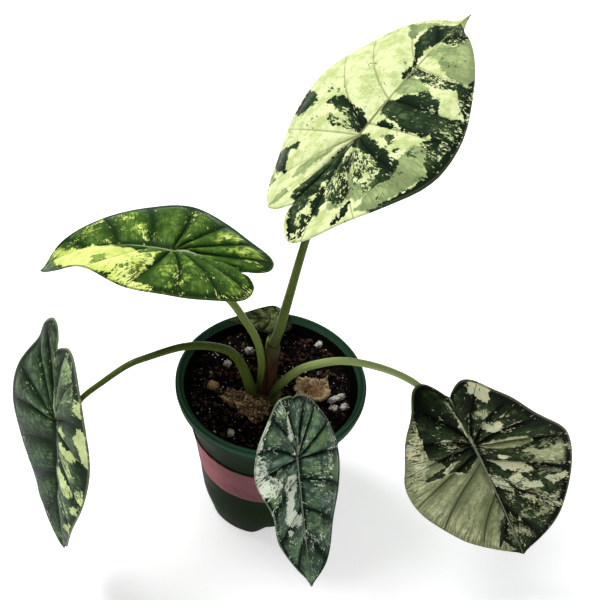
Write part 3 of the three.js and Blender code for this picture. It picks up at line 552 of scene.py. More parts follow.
# %% Patches on the flat blades
# Each patch is its tone, how much it is speckled with the other tone, and its corners.
PATCHES = {
    "top": [
        ("mid", 0.2, (2, 76), (14, 90), (24, 84), (40, 55), (42, 42), (26, 46), (12, 60), (1, 66)),
        ("mid", 0.0, (0, 46), (12, 42), (22, 34), (26, 30), (10, 29), (0, 34)),
        ("mid", 0.3, (38, -4), (52, -2), (57, -12), (52, -30), (46, -46), (38, -52), (36, -30)),
        ("mid", 0.3, (10, -22), (22, -28), (38, -40), (34, -50), (24, -56), (12, -40)),
        ("mid", 0.1, (-27, 88), (-18, 95), (-10, 97), (-12, 90), (-15, 84), (-14, 76), (-19, 79),
         (-21, 85)),
        ("mid", 0.0, (-24, -46), (-17, -42), (-9, -47), (-8, -56), (-15, -58), (-22, -53)),
        ("mid", 0.1, (-9, -14), (-5, -12), (-13, -32), (-18, -36), (-20, -27)),
        ("mid", 0.0, (-48, 9), (-42, 12), (-42, 8), (-48, 7)),
        ("mid", 0.0, (-48, -28), (-38, -34), (-41, -37), (-46, -32)),
        ("dark", 0.0, (1, 105), (-2, 100), (-6, 99), (-11, 93), (-12, 84), (-11.5, 74), (-8, 68),
         (-5, 61), (-3.5, 54), (-1.5, 40), (-0.5, 50), (-1, 60), (-3, 68), (-2, 76), (1, 86)),
        ("dark", 0.35, (0, 106), (7, 99), (13, 91), (15, 82), (14, 74), (8, 76), (3, 79), (-1, 84)),
        ("dark", 0.5, (-2, 57), (8, 51), (15, 48), (26, 44), (38, 45), (38, 40), (31, 35), (20, 37),
         (10, 43), (-1, 46)),
        ("dark", 0.15, (0, 27.5), (8, 27), (23, 31), (33, 27), (37, 20), (46, 21), (52, 14),
         (46, 8), (38, 4), (26, 4), (20, 8), (10, 12), (5, 13), (1.5, 18)),
        ("dark", 0.45, (40, 50), (47, 38), (52, 24), (58, 4), (59, -8), (56, -18), (51, -15),
         (46, -5), (41, -1), (42, 8), (47, 20), (44, 28), (38, 38)),
        ("dark", 0.3, (59, -16), (57, -32), (50, -44), (47, -42), (51, -32), (54, -20)),
        ("dark", 0.05, (45, 47), (53, 36), (61, 10), (61, -12), (58, -34), (48, -50), (45, -48),
         (53, -36), (55.5, -14), (56, 5), (50, 28)),
        ("pale", 0.1, (41, 23), (46, 25), (49, 22), (44, 20)),
        ("dark", 0.1, (5, 9), (12, 9.5), (22, 5), (18, 3.4), (10, 4.6)),
        ("dark", 0.0, (21, -1), (25, -2), (29, -6), (27, -9.5), (23, -6)),
        ("dark", 0.0, (31, -11), (33, -9.5), (34.5, -13), (32, -13)),
        ("dark", 0.1, (0, 1), (5, -0.5), (12, -4), (25, -11), (39, -18), (41, -28), (37, -38),
         (33, -36), (34, -26), (24, -18), (14, -14), (6, -12), (0, -8)),
        ("dark", 0.75, (6, -12), (24, -18), (34, -26), (37, -40), (28, -36), (18, -30), (8, -24)),
        ("dark", 0.5, (3, -18), (9, -22), (16, -30), (26, -40), (30, -50), (22, -50), (13, -42),
         (6, -36)),
        ("dark", 0.05, (-1, -3), (2, -6), (5, -20), (6, -40), (8, -58), (12, -72), (8, -68),
         (1, -56), (-2, -52), (-4, -50), (-5, -30), (-5, -16)),
        ("dark", 0.25, (6, -38), (12, -42), (20, -50), (21, -59), (14, -57), (8, -50)),
        ("dark", 0.5, (8, -58), (18, -60), (22, -71), (15, -74), (9, -69)),
        ("dark", 0.2, (30, -44), (33, -46), (35.5, -56), (33, -61), (31, -54)),
        ("dark", 0.1, (-57, 29), (-48, 25), (-38, 17), (-41, 12), (-45, 9), (-52, 8), (-58, 12)),
        ("dark", 0.35, (0, 8), (-3, 12), (-8, 15), (-16, 18), (-25, 22.5), (-29, 21), (-31, 17),
         (-30, 14), (-22, 12), (-12, 7), (-5, 2.5), (0, 0.5)),
        ("dark", 0.7, (-24, 7), (-15, 6), (-5, 1.5), (-12, 1), (-22, 2.5)),
        ("dark", 0.05, (-55, -13), (-40, -14), (-35, -12), (-31, -13), (-31, -17), (-36, -18),
         (-33, -25), (-28, -32.5), (-36, -31), (-47, -27), (-53, -20)),
    ],
    "left": [
        ("pale", 0.0, (-0.5, 75), (1, 71), (2.5, 66), (2, 56), (0.8, 45), (0.4, 33), (-8, 31.5),
         (-12, 27), (-14, 22), (-10, 16), (-12, 12), (-20, 9.5), (-30, 11), (-43, 18), (-42, 28),
         (-36, 40), (-27, 51), (-21, 60), (-13, 66), (-5, 73)),
        ("pale", 0.72, (-46, 16), (-35, 13), (-20, 9), (-12, 2), (-25, 1.5), (-38, 3), (-47, 5)),
        ("pale", 0.75, (-47, 6), (-43, 4), (-42, -4), (-45, -8), (-48, -4)),
        ("mid", 0.6, (-35, 29), (-28, 30), (-24, 25), (-32, 23)),
        ("soft", 0.72, (2, 16), (8, 21), (15, 25.5), (17, 23), (9, 18), (5, 14)),
        ("soft", 0.72, (0, 66), (2, 78), (7, 82), (9, 77), (5, 70)),
        ("soft", 0.72, (21, 33), (24, 32), (22, 29.5), (20, 31)),
        ("soft", 0.6, (17, 54), (27, 61), (33, 55), (24, 49)),
        ("soft", 0.7, (-38, -17), (-30, -13), (-21, -11), (-20, -14), (-30, -21)),
        ("soft", 0.65, (19, -20), (26, -23), (31, -32), (24, -30)),
        ("soft", 0.5, (12, -32), (24, -36), (28, -44), (18, -48), (14, -40)),
        ("soft", 0.65, (-30, -42), (-12, -46), (-8, -52), (-20, -53), (-30, -48)),
    ],
    "far_left": [
        ("mid", 1.0, (0, 62), (0.5, 46), (-10, 44), (-20, 47), (-29, 43), (-28, 36), (-20, 35),
         (-10, 39), (-1, 34), (-1, 46), (-4, 56)),
        ("pale", 0.5, (-29, 29), (-22, 30), (-9, 24), (-11, 20), (-20, 21), (-30, 25)),
        ("pale", 0.4, (-37, 37), (-30, 38), (-31, 33), (-37, 30), (-41, 26), (-36, 34)),
        ("pale", 0.5, (-42, 26), (-35, 26), (-34, 22), (-40, 18)),
        ("pale", 0.4, (-27, 56), (-20, 56), (-21, 51), (-29, 48)),
        ("pale", 0.1, (-34, 4), (-25, 6), (-16, 5), (-14, 2), (-25, 1), (-34, 0)),
        ("pale", 0.3, (-18, -1), (-11, -3), (-17, -9), (-24, -8)),
        ("pale", 0.15, (-45, 3), (-38, 0), (-37, -7), (-33, -12), (-36, -18), (-42, -20)),
        ("pale", 0.5, (-38, -26), (-31, -27), (-32, -33), (-37, -33)),
        ("mid", 1.0, (-10, -18), (-4, -8), (-8, -34), (-16, -50), (-26, -46), (-30, -32)),
        ("soft", 0.55, (-25, -43), (-14, -45), (-12, -50), (-20, -53), (-27, -48)),
        ("soft", 0.6, (-34, 16), (-16, 14), (-12, 8), (-30, 8)),
    ],
    "front": [
        ("soft", 0.0, (-30, 36), (-23, 38), (-21, 22), (-22, 6), (-31, 4)),
        ("soft", 0.1, (-13, 45), (-6, 46), (-4, 34), (-8, 26), (-13, 34)),
        ("soft", 0.45, (-21, 20), (-8, 19), (-3, 11), (-8, 5), (-21, 12)),
        ("soft", 0.1, (-20, -4), (-6, -3), (-8, -10), (-16, -14), (-21, -9)),
        ("soft", 0.2, (-20, -18), (-10, -17), (-7, -23), (-16, -26)),
        ("soft", 0.1, (2, 72), (6, 62), (13, 50), (12, 42), (5, 42), (3, 56)),
        ("pale", 0.3, (1, 35), (4.4, 36.7), (9, 35), (13, 34.4), (15.5, 29), (18, 25.5), (15.5, 22),
         (14, 17), (9, 16), (9.4, 24.4), (6.7, 29), (1.5, 31)),
        ("pale", 0.6, (2.5, 12), (8, 17), (14, 17), (13, 13), (14.4, 10), (11, 6.7), (5.5, 5),
         (3, 8)),
        ("pale", 0.7, (16, 8), (22, 12), (28, 12), (30, 2), (28, -10), (24, -8), (23, 1), (17, 4)),
        ("pale", 0.5, (25, -14), (28, -14), (27.5, -20), (22, -27), (20, -27.5), (24, -20)),
        ("soft", 0.55, (15, 18), (23, 18), (26, 12), (18, 10)),
        ("pale", 0.35, (3.2, -4), (5, -6), (8, -16), (9, -26), (7, -27), (5.5, -16)),
        ("soft", 0.5, (9, -27), (15, -23), (18, -30), (11, -35), (7, -34)),
        ("soft", 0.1, (16, -16), (21.5, -16.5), (22, -22), (16.5, -22.5)),
        ("pale", 0.6, (10, 38), (13, 39), (13, 36), (11, 36)),
    ],
    "right": [
        ("mid", 0.05, (1, 63), (6, 66), (11, 76), (14, 86), (26, 80), (46, 40), (50, 10), (47, -4),
         (38, -8), (34, 2), (20, 6), (12, 12), (0.5, 9)),
        ("mid", 0.45, (20, -2), (36, 0), (47, 0), (44, -16), (36, -34), (28, -46), (23, -44),
         (26, -32), (27, -16)),
        ("mid", 0.3, (3, 92), (9, 88), (15, 84), (9, 78)),
        ("pale", 0.6, (30, -4), (37, -8), (36, -18), (38, -26), (31, -36), (25, -31), (30, -22)),
        ("pale", 0.5, (-27, 27), (-20, 26.5), (-12, 21), (-4, 14), (-15, 16), (-24, 20)),
        ("pale", 0.45, (-29, 41), (-17, 42), (-13, 36), (-11, 29), (-18, 26), (-22, 34), (-29, 37)),
        ("pale", 0.65, (-11, 43), (-2, 38), (-1, 30), (-8, 27), (-10, 35)),
        ("pale", 0.6, (-44, 41), (-34, 41), (-32, 35), (-43, 36)),
        ("soft", 0.4, (-54, 34), (-34, 34), (-26, 20), (-30, 8), (-54, 4)),
        ("soft", 0.6, (-38, 62), (-22, 64), (-18, 54), (-12, 46), (-26, 48), (-36, 52)),
        ("pale", 0.55, (-19, 14), (-12, 13), (-12, 8.5), (-18, 10.5)),
        ("mid", 0.1, (-34, 2.5), (-25, 4.5), (-12, 2.5), (-2, 0.5), (-6, -3), (-14, -6.5),
         (-25, -7), (-32, -5)),
        ("pale", 0.6, (-20, -11), (-15, -13), (-9, -17), (-12, -20), (-17, -19), (-22, -22)),
        ("pale", 0.1, (-20, -38), (-15, -42), (-11, -45), (-15, -52), (-21, -51), (-24, -45)),
        ("soft", 0.5, (-15, -20), (-12, -26), (-15, -32), (-18, -28)),
        ("soft", 0.6, (-9, 80), (-2, 80), (-1, 68), (-9, 66)),
        ("pale", 0.7, (11, -14), (19, -20), (20, -24), (12, -17)),
        ("pale", 0.4, (0.6, -4), (2, -12), (4, -42), (2, -42), (1, -20)),
        ("pale", 0.6, (14, 1), (22, 4.5), (24, 2), (16, -1)),
        ("dark", 0.25, (0, 95), (4, 90), (5, 84), (9, 76), (8, 70), (5, 63), (0, 63)),
        ("dark", 0.2, (1, 3), (8, 9), (14, 11.5), (19, 7), (15, 2), (4, 0)),
    ],
    "small": [
        ("soft", 0.3, (-12, 16), (-4, 20), (0, 10), (8, 8), (10, 0), (-4, 1), (-12, 6)),
        ("pale", 0.6, (-3, 4), (2, 3), (6, 0), (0, 0)),
    ],
}
print({name: len(patches) for name, patches in PATCHES.items()}, "patches")


# %% Depth into a patch
DEEPEST = 12.0


def patch_depth(corners, across, along):
    """How far inside a patch each place is, in millimetres, and below zero outside it."""
    corners = np.array(corners, float)
    place = np.stack([across, along], 1)
    nearest = np.full(len(place), 1e9)
    inside = np.zeros(len(place), bool)
    for a, b in zip(corners, np.roll(corners, -1, axis=0)):
        edge = b - a
        share = np.clip(((place - a) @ edge) / (edge @ edge), 0, 1)
        nearest = np.minimum(nearest, np.linalg.norm(place - a - share[:, None] * edge, axis=1))
        crosses = (a[1] > place[:, 1]) != (b[1] > place[:, 1])
        rise = np.where(abs(edge[1]) < 1e-9, 1e-9, edge[1])
        inside ^= crosses & (place[:, 0] < a[0] + (place[:, 1] - a[1]) * edge[0] / rise)
    return np.where(inside, nearest, -nearest)


def tones_of(patches, start, across, along, base_speckle):
    """The depth into dark, mid and soft green, and the speckling, at each place of a blade.
    start is the tone of the bare blade: above zero dark, below zero pale."""
    dark = np.full(len(across), start)
    mid = np.full(len(across), -DEEPEST)
    soft = np.full(len(across), -DEEPEST)
    speckle = np.full(len(across), base_speckle)
    for tone, amount, *corners in patches:
        depth = patch_depth(corners, across, along)
        here = np.clip(0.5 + depth / 2, 0, 1)
        speckle = speckle * (1 - here) + amount * here
        if tone == "soft":
            soft = np.maximum(soft, depth)
        elif tone == "mid":
            mid = np.maximum(mid, depth)
            dark = np.where(depth > 0, np.minimum(dark, -depth), dark)
        elif tone == "dark":
            dark = np.maximum(dark, depth)
            mid = np.minimum(mid, -depth)
        else:
            dark = np.minimum(dark, -depth)
            mid = np.minimum(mid, -depth)
    return [np.clip(depth, -DEEPEST, DEEPEST) for depth in (dark, mid, soft)] + [speckle]


test = patch_depth([(0, 0), (4, 0), (4, 4), (0, 4)], np.array([2.0, 6.0]), np.array([2.0, 2.0]))
print("depth into a 4 mm square, at its middle and 2 mm outside:", test)

# %% [markdown]
# ## Blade finish
# The skin is satin, with thin sunken veins; painted shade darkens the valleys and painted light the
# swellings.
# The finish reads the marks kept on the blade: how deep a place is in a patch, how near a vein
# it is, and how high it swells. Noise on the flat leaf roughens every edge, because a leaf's
# cells change tone one by one.

# %% Tones of the blades
# mid_low is the mid tone in the painted shade of the valleys, and pale_low clouds the pale one.
# valley says how broad the painted shade of the valleys is, sheen how much painted highlight
# lightens the tops of dark swellings, outer how much pale fibre shows near the margin, and
# hem_share how clear the line along it is.
TONES = {
    "top": dict(pale=rgb(228, 236, 178), pale_low=rgb(194, 208, 138), mid=rgb(166, 184, 122),
                mid_low=rgb(120, 138, 90), dark=rgb(44, 66, 38), deep=rgb(14, 28, 14),
                vein=rgb(136, 144, 98), rib=rgb(132, 142, 96), hem=rgb(168, 182, 128),
                valley=0.2, sheen=0.8, outer=0.2, hem_share=0.1),
    "left": dict(pale=rgb(230, 240, 142), pale_low=rgb(206, 220, 110), mid=rgb(150, 178, 72),
                 mid_low=rgb(124, 154, 68), dark=rgb(80, 116, 44), deep=rgb(26, 50, 16),
                 vein=rgb(16, 32, 8), rib=rgb(150, 172, 120), hem=rgb(70, 96, 44),
                 valley=0.25, sheen=1.0, outer=0.3, hem_share=0.6),
    "far_left": dict(pale=rgb(214, 228, 160), pale_low=rgb(184, 200, 132), mid=rgb(132, 152, 100),
                     mid_low=rgb(112, 138, 100), dark=rgb(76, 100, 70), deep=rgb(24, 40, 22),
                     vein=rgb(16, 24, 12), rib=rgb(136, 152, 108), hem=rgb(134, 148, 108),
                     valley=0.45, sheen=1.0, outer=0.6, hem_share=0.6),
    "front": dict(pale=rgb(240, 248, 226), pale_low=rgb(222, 232, 206), mid=rgb(110, 138, 92),
                  mid_low=rgb(174, 194, 172), dark=rgb(92, 120, 98), deep=rgb(14, 34, 22),
                  vein=rgb(8, 16, 8), rib=rgb(158, 174, 148), hem=rgb(130, 148, 116),
                  valley=0.25, sheen=1.0, outer=0.4, hem_share=0.6),
    "right": dict(pale=rgb(206, 214, 176), pale_low=rgb(224, 220, 172), mid=rgb(182, 188, 140),
                  mid_low=rgb(118, 128, 88), dark=rgb(42, 60, 30), deep=rgb(10, 16, 7),
                  vein=rgb(46, 50, 26), rib=rgb(168, 174, 142), hem=rgb(112, 122, 86),
                  valley=0.3, sheen=0.5, outer=0.7, hem_share=0.6),
    "small": dict(pale=rgb(124, 134, 90), pale_low=rgb(96, 106, 62), mid=rgb(76, 86, 44),
                  mid_low=rgb(60, 70, 34), dark=rgb(44, 54, 22), deep=rgb(12, 15, 5),
                  vein=rgb(30, 36, 14), rib=rgb(66, 74, 42), hem=rgb(84, 94, 56),
                  valley=0.3, sheen=1.0, outer=0.4, hem_share=0.6),
}
print(sum(len(tones) for tones in TONES.values()), "tones and shares")


# %% Blade finishes
def blade_finish(name, tones, seed):
    """The upper skin of one blade, with its patches, specks and veins."""
    skin = Finish("blade_" + name, Roughness=0.42, Specular_IOR_Level=0.03)
    flat = skin.stretch(skin.mark("flat", "Vector"), (1, 1, 1), (seed * 10.0, seed * 20.0, 0))
    along = skin.mark("fibre", "Vector")
    fibre = skin.stretch(along, (1, 0.4, 1), (seed * 3.0, 0, 0))
    cloud = skin.noise(flat, 0.09, 5, 0.62)
    streak = skin.noise(skin.stretch(along, (1.4, 0.1, 1)), 0.5, 5, 0.7)

    # Rough edges of the patches: the noises shift the depth by a few millimetres each way.
    ragged = skin.noise(flat, 0.45, 4, 0.65)
    fleck = skin.noise(fibre, 0.8, 3, 0.6, 0.4)
    edge = skin.with_share(-7.5, 5.0, ragged)
    edge = skin.with_share(edge, 7.0, skin.noise(flat, 0.14, 3, 0.5))
    edge = skin.with_share(edge, 3.0, fleck)
    edge = skin.times(edge, skin.ramp(skin.mark("rib"), 0.0, 4.0, 0.1))
    is_dark = skin.ramp(skin.plus(skin.mark("dark"), edge), -0.12, 0.12)
    is_mid = skin.ramp(skin.plus(skin.mark("mid"), edge), -0.5, 0.5)
    is_soft = skin.plus(skin.mark("soft"), skin.times(edge, 5.0))

    # Specks of the other tone: the peaks of three noises, more of them where speckle is high.
    speck = skin.with_share(skin.times(fleck, 0.55), 0.45, skin.noise(fibre, 0.25, 4, 0.6, 0.5))
    speck = skin.with_share(skin.plus(speck, -0.175), 0.35, skin.noise(flat, 0.07, 2, 0.5))
    flip = skin.ramp(skin.with_share(speck, 0.18, skin.mark("speckle")), 0.637, 0.647)

    # Painted light on the swellings and painted highlights on their crests, uneven as skin is.
    uneven = skin.with_share(skin.with_share(-0.65, 0.5, ragged), 0.8, streak)
    swollen = skin.plus(uneven, skin.mark("puff"))
    high = skin.ramp(swollen, tones["valley"], 1.05)
    crest_highlight = skin.ramp(swollen, 0.8, 1.15, 0.0, 0.6)

    # The light side: pale or mid. The mid has painted shade in the valleys and painted highlights
    # on the crests, with pale fibre near the margin and a net of fine veins.
    pale = skin.mix(skin.ramp(cloud, 0.42, 0.6), tones["pale"], tones["pale_low"])
    band = skin.noise(skin.stretch(along, (0.5, 0.045, 1)), 0.5, 4, 0.6)
    mottle = skin.ramp(skin.with_share(skin.times(cloud, 0.4), 0.6, band), 0.4, 0.56)
    mid = skin.mix(skin.times(high, mottle), tones["mid_low"], tones["mid"])
    mid = skin.mix(skin.times(crest_highlight, 0.8), mid, tones["pale_low"])
    outer = skin.ramp(skin.mark("ring"), 0.55, 0.85, 0.0, tones["outer"])
    mid = skin.mix(skin.times(outer, skin.ramp(streak, 0.45, 0.6)), mid, tones["pale_low"])
    net = skin.cells(skin.stretch(flat, (0.2, 0.15, 1)), 1.0, "DISTANCE_TO_EDGE")
    fine_veins = skin.times(skin.ramp(net, 0.1, 0.0), skin.ramp(is_mid, 0, 1, 0.12, 0.45))
    light = skin.mix(fine_veins, skin.mix(is_mid, pale, mid), tones["mid_low"])

    # The dark side: painted shade in the valleys, painted light on the green domes, painted
    # highlights on the crests, and soft patches that show on the lit domes.
    lit = skin.times(high, skin.ramp(cloud, 0.38, 0.6, 1.0, 0.5))
    dark = skin.mix(skin.times(crest_highlight, tones["sheen"]), skin.mix(lit, tones["deep"], tones["dark"]),
                    tones["mid_low"])
    dark = skin.mix(skin.times(skin.ramp(is_soft, -3.0, 3.0), high), dark, tones["mid"])

    # Both sides, swapped where a speck is, and then painted shade in the troughs by the veins, and
    # the veins, midrib and hem.
    swap = skin.work_out("SUBTRACT", is_dark, skin.times(flip, 0.88))
    skin.paint(skin.work_out("ABSOLUTE", swap), light, dark)
    # Painted shade in the troughs beside the side veins.
    vein_shade = skin.ramp(skin.mark("vein"), 3.0, 0.0, 0.0, 0.4)
    skin.coat(skin.times(vein_shade, is_dark), tones["deep"])
    skin.coat(skin.times(vein_shade, is_mid), tones["vein"])
    vein = skin.ramp(skin.mark("vein"), 0.9, 0.2, 0.0, 0.7)
    skin.coat(vein, skin.mix(is_dark, tones["vein"], tones["deep"]))
    skin.coat(skin.ramp(skin.mark("rib"), 1.2, 0.6, 0.0, 0.8), tones["rib"])
    skin.coat(skin.ramp(skin.mark("ring"), 0.975, 0.99, 0.0, tones["hem_share"]), tones["hem"])
    grain = skin.noise(flat, 2.2, 3, 0.6)
    skin.set("Roughness", skin.ramp(grain, 0.3, 0.7, 0.34, 0.5))
    skin.bump(skin.with_share(skin.times(streak, 0.9), 0.5, grain), 0.5, 0.0005)
    return skin


blade_finishes = {name: blade_finish(name, tones, 7.0 * i)
                  for i, (name, tones) in enumerate(TONES.items())}
blade_back = Finish("blade_underside", Roughness=0.5, Specular_IOR_Level=0.35)
back_cloud = blade_back.noise(blade_back.mark("flat", "Vector"), 0.08, 5, 0.65)
blade_back.paint(blade_back.ramp(back_cloud, 0.35, 0.65), rgb(122, 142, 104), rgb(164, 178, 132))
blade_back.coat(blade_back.ramp(blade_back.mark("vein"), 1.6, 0.4, 0.0, 0.7), rgb(96, 78, 62))
blade_back.bump(back_cloud, 0.3, 0.0005)
print(len(blade_finishes), "blade finishes and one for the undersides")

# %% [markdown]
# ## Blade meshes
# A fine grid is moved onto the formula: its length runs round the margin from notch to notch,
# and its height from the midrib out to the margin. Where both halves meet, the doubled points
# are merged, which closes the midrib and the seam between the lobes. Narrow grooves follow the
# side veins, and a low relief of cells covers the swellings. Solidify then gives the sheet its
# thickness, with the underside's own finish.

# %% Columns and cells
COLUMN_STEPS = 22
RING_STEPS = 60
SMALL_COLUMN_STEPS = 10
SMALL_RING_STEPS = 24
LAST_PLACE = len(VEINS) + 1
CELL_SIZE = 5.5


def places_of(steps):
    """Places round the margin, counted in veins and closer together near each of them."""
    share = np.arange(steps) / steps
    share = (share + 0.5 - 0.5 * np.cos(math.pi * share)) / 2
    places = np.concatenate([vein + share for vein in range(LAST_PLACE)] + [[LAST_PLACE]])
    return np.concatenate([-places[:0:-1], places])


def cell_relief(across, along):
    """Low cells, 0 on the lines between them and 1 in their middles."""
    values = []
    for x, y in zip(across, along):
        near, _ = noise.voronoi(Vector((x / CELL_SIZE, y / CELL_SIZE, 0.3)))
        values.append(min(1, (near[1] - near[0]) * 2.2))
    return np.array(values)


print(len(places_of(COLUMN_STEPS)), "columns on a large blade")

# %% Blade meshes
QUILT = 2.2
COLLECTING_VEIN = 0.93
USUAL_LENGTH = 95
FAR_OFF = 99
CELL_SHIFT = 200
# How dark the bare blade is, how much it is speckled, and how wide the seam of its lobes is.
BARE_BLADES = {"top": (-DEEPEST, 0.1, 0.1), "left": (DEEPEST, 0.1, 0.35),
               "far_left": (DEEPEST, 0.04, 0.45), "front": (DEEPEST, 0.28, 0.5),
               "right": (DEEPEST, 0.15, 0.75), "small": (DEEPEST, 0.1, 0.2)}


def make_blade(name, leaf):
    """Bend, colour and thicken one blade."""
    start_tone, base_speckle, seam_width = BARE_BLADES[name]
    size = leaf["length"] / USUAL_LENGTH
    large = leaf["length"] > LARGE_LEAF
    signed = places_of(COLUMN_STEPS if large else SMALL_COLUMN_STEPS)
    bm, u, v = flat_grid(len(signed) - 1, RING_STEPS if large else SMALL_RING_STEPS)
    signed = signed[np.round(u * (len(signed) - 1)).astype(int)]
    side = np.where(signed < 0, -1, 1)
    place = abs(signed)
    ring = v**0.9

    # The flat leaf: where each vertex lies on it, and how far the nearest side vein is.
    flat, lift = np.zeros((len(v), 2)), np.zeros(len(v))
    column, to_vein = np.zeros(len(v)), np.full(len(v), float(FAR_OFF))
    low = np.minimum(np.floor(place), LAST_PLACE - 1)
    for sign, half in ((-1, leaf["left"]), (1, leaf["right"])):
        here = side == sign
        column[here] = column_of(half, place[here])
        flat[here], lift[here] = flat_point(leaf, half, place[here], ring[here])
        for vein_place in (low, low + 1):
            line, _ = flat_point(leaf, half, vein_place[here], ring[here])
            gap = np.where(vein_place[here] > 0, np.linalg.norm(line - flat[here], axis=1), FAR_OFF)
            to_vein[here] = np.minimum(to_vein[here], gap)
    across, along = flat[:, 0] * side, flat[:, 1]

    # Distances from the veins, counted in widths of a vein, of the midrib and of the seam.
    vein = to_vein / (size * (0.95 - 0.55 * ring))
    rib = abs(across) / (size * (0.35 + 0.5 * np.clip(1 - along / leaf["length"], 0, 1)))
    seam = np.minimum(np.hypot(across, along) / 1.6, abs(across) / seam_width) / size
    rib = np.where(along < 0, seam, rib)

    # Relief: domes between the veins with cells on them, grooves, and a raised midrib.
    swelling = np.sin(math.pi * (place - low))
    fade = np.minimum(1, ring / 0.2) * np.clip((COLLECTING_VEIN - ring) / 0.15, 0, 1)
    dome = swelling**0.8 * fade * np.minimum(1, column / 3)
    puff = swelling**0.45 * np.minimum(1, ring / 0.1) * np.clip((0.98 - ring) / 0.09, 0, 1)
    cells = cell_relief(across + CELL_SHIFT, along + CELL_SHIFT)
    groove = np.exp(-vein**2) * (1 - ring) ** 0.3
    relief = QUILT * leaf["quilt"] * dome + lift
    relief += 0.22 * size * cells * dome - 0.25 * size * groove * np.minimum(1, column / 2)
    relief += 0.2 * size * np.exp(-rib**2)
    points = sheet_points(leaf, across, along)
    points += sheet_normals(leaf, across, along) * relief[:, None]
    move_vertices(bm, points)

    dark, mid, soft, speckle = tones_of(PATCHES[name], start_tone, across, along, base_speckle)
    add_marks(bm, dark=dark, mid=mid, soft=soft, speckle=speckle, puff=puff * (0.8 + 0.2 * cells),
              vein=np.clip(vein, 0, 5), rib=np.clip(rib, 0, 5), ring=ring)
    flat_layer = bm.verts.layers.float_vector.new("flat")
    fibre_layer = bm.verts.layers.float_vector.new("fibre")
    for vertex, x, y, c, r in zip(bm.verts, across, along, signed, ring):
        vertex[flat_layer] = (x, y, 0)
        vertex[fibre_layer] = (c * 26, r * 60 * size, 0)
    bmesh.ops.remove_doubles(bm, verts=bm.verts, dist=1e-3)
    piece = finish_piece("leaf_" + name, bm, blade_finishes[name], "blade_green", "blade_" + name)
    piece.data.materials.append(blade_back.material)
    shell = thicken(piece, BLADE_THICKNESS)
    shell.material_offset = 1
    shell.use_quality_normals = True


for leaf_name, leaf_values in LEAVES.items():
    make_blade(leaf_name, leaf_values)

# %% [markdown]
# ## Stalks
# Each stalk is a fleshy tube that leaves the crown thick, tapers along a slow curve and meets
# the underside of its blade square on. A curve object with a bevel could make it, but the same
# grid rolled into a tube keeps a UV map that runs along the stalk, for its streaks.

# %% Stalk paths
# The radius at the foot and at the blade, and then the places that the stalk passes through.
STALKS = {
    "top": ((3.4, 1.9), (-1.2, -2.5, 143), (-0.3, -0.7, 151), (1.4, 0.5, 158), (5.2, 3.8, 181.7),
            (9.4, 8, 209.7), (13.4, 11.8, 232), (20.5, 16.3, 258)),
    "left": ((2.5, 2.2), (-6.4, -7, 113), (-6.4, -6.9, 128.6), (-7, -6.8, 140.3),
             (-10.7, -6.3, 156.3), (-18.5, -5.2, 170.5), (-27.6, -4.1, 183.8), (-41, -2, 195)),
    "far_left": ((3.8, 1.5), (-10, -11.5, 108), (-11.6, -13, 118.1), (-15.1, -15, 134.3),
                 (-18.9, -17.1, 147.4), (-24.1, -20, 158.1), (-30, -23.3, 163.9),
                 (-40.5, -29.2, 170.2), (-50.6, -34.8, 172.8), (-65.4, -43.1, 171.8),
                 (-75.1, -48.6, 170.1), (-88, -55.8, 162.1), (-100.1, -62.6, 152.2)),
    "front": ((2.6, 1.8), (6.5, -15, 107), (6.8, -16, 112.5), (8, -20, 119), (11, -31, 130),
              (14, -46, 141), (17, -62, 147)),
    "right": ((3, 1.8), (1, -9, 108), (2.2, -9.4, 115.5), (8.5, -11.1, 129.6),
              (16.7, -13.2, 142.7), (27.8, -16, 152.8), (38.9, -18.7, 159.7), (52, -22, 163.3),
              (67.2, -25.8, 163.7), (80, -28.7, 160.5), (96, -31, 149)),
    "small": ((1.4, 1), (-4, 0.5, 108), (-4.6, 4, 115), (-5.2, 14, 119.5), (-5.8, 26, 121),
              (-5.5, 34, 119.5)),
}
STALK_STEPS = 90
STRAIGHT_END = 7
SMALL_STRAIGHT_END = 3.5
JOINT_GAP = 0.6


def stalk_path(name):
    """A stalk's curve, which ends straight into the back of its blade, and its length."""
    leaf = LEAVES[name]
    face = pose_of(leaf)[:, 2]
    straight = STRAIGHT_END if leaf["length"] > LARGE_LEAF else SMALL_STRAIGHT_END
    joint = np.array(leaf["at"], float)
    via = [np.array(p, float) for p in STALKS[name][1:]]
    return curve_through([*via, joint - face * straight, joint - face * JOINT_GAP], STALK_STEPS)


print({name: round(float(stalk_path(name)[1])) for name in STALKS}, "mm long")

# %% [markdown]
# ### Stalk finish
# The skin is smooth and waxy, green with fine lengthwise streaks and tiny pale dots, browner
# where it leaves the crown. Streaks come from noise that is squeezed along the UV map. Some
# stalks carry painted light towards the blade and some painted shade, so each keeps a mark for
# both.

# %% Stalk finish
stalk_skin = Finish("stalk_skin", Roughness=0.36, Specular_IOR_Level=0.1)
stalk_streak = stalk_skin.noise(stalk_skin.stretch(stalk_skin.flow(), (14, 5, 1)), 1.0, 5, 0.6)
stalk_dots = stalk_skin.ramp(stalk_skin.noise(stalk_skin.place(), 1400, 2, 0.5), 0.62, 0.7)
stalk_along = stalk_skin.mark("along")
stalk_skin.paint(stalk_skin.ramp(stalk_along, 0.35, 1.0), rgb(96, 114, 40), rgb(104, 122, 50))
stalk_skin.coat(stalk_skin.ramp(stalk_streak, 0.3, 0.7, 0.0, 0.5), rgb(132, 150, 66))
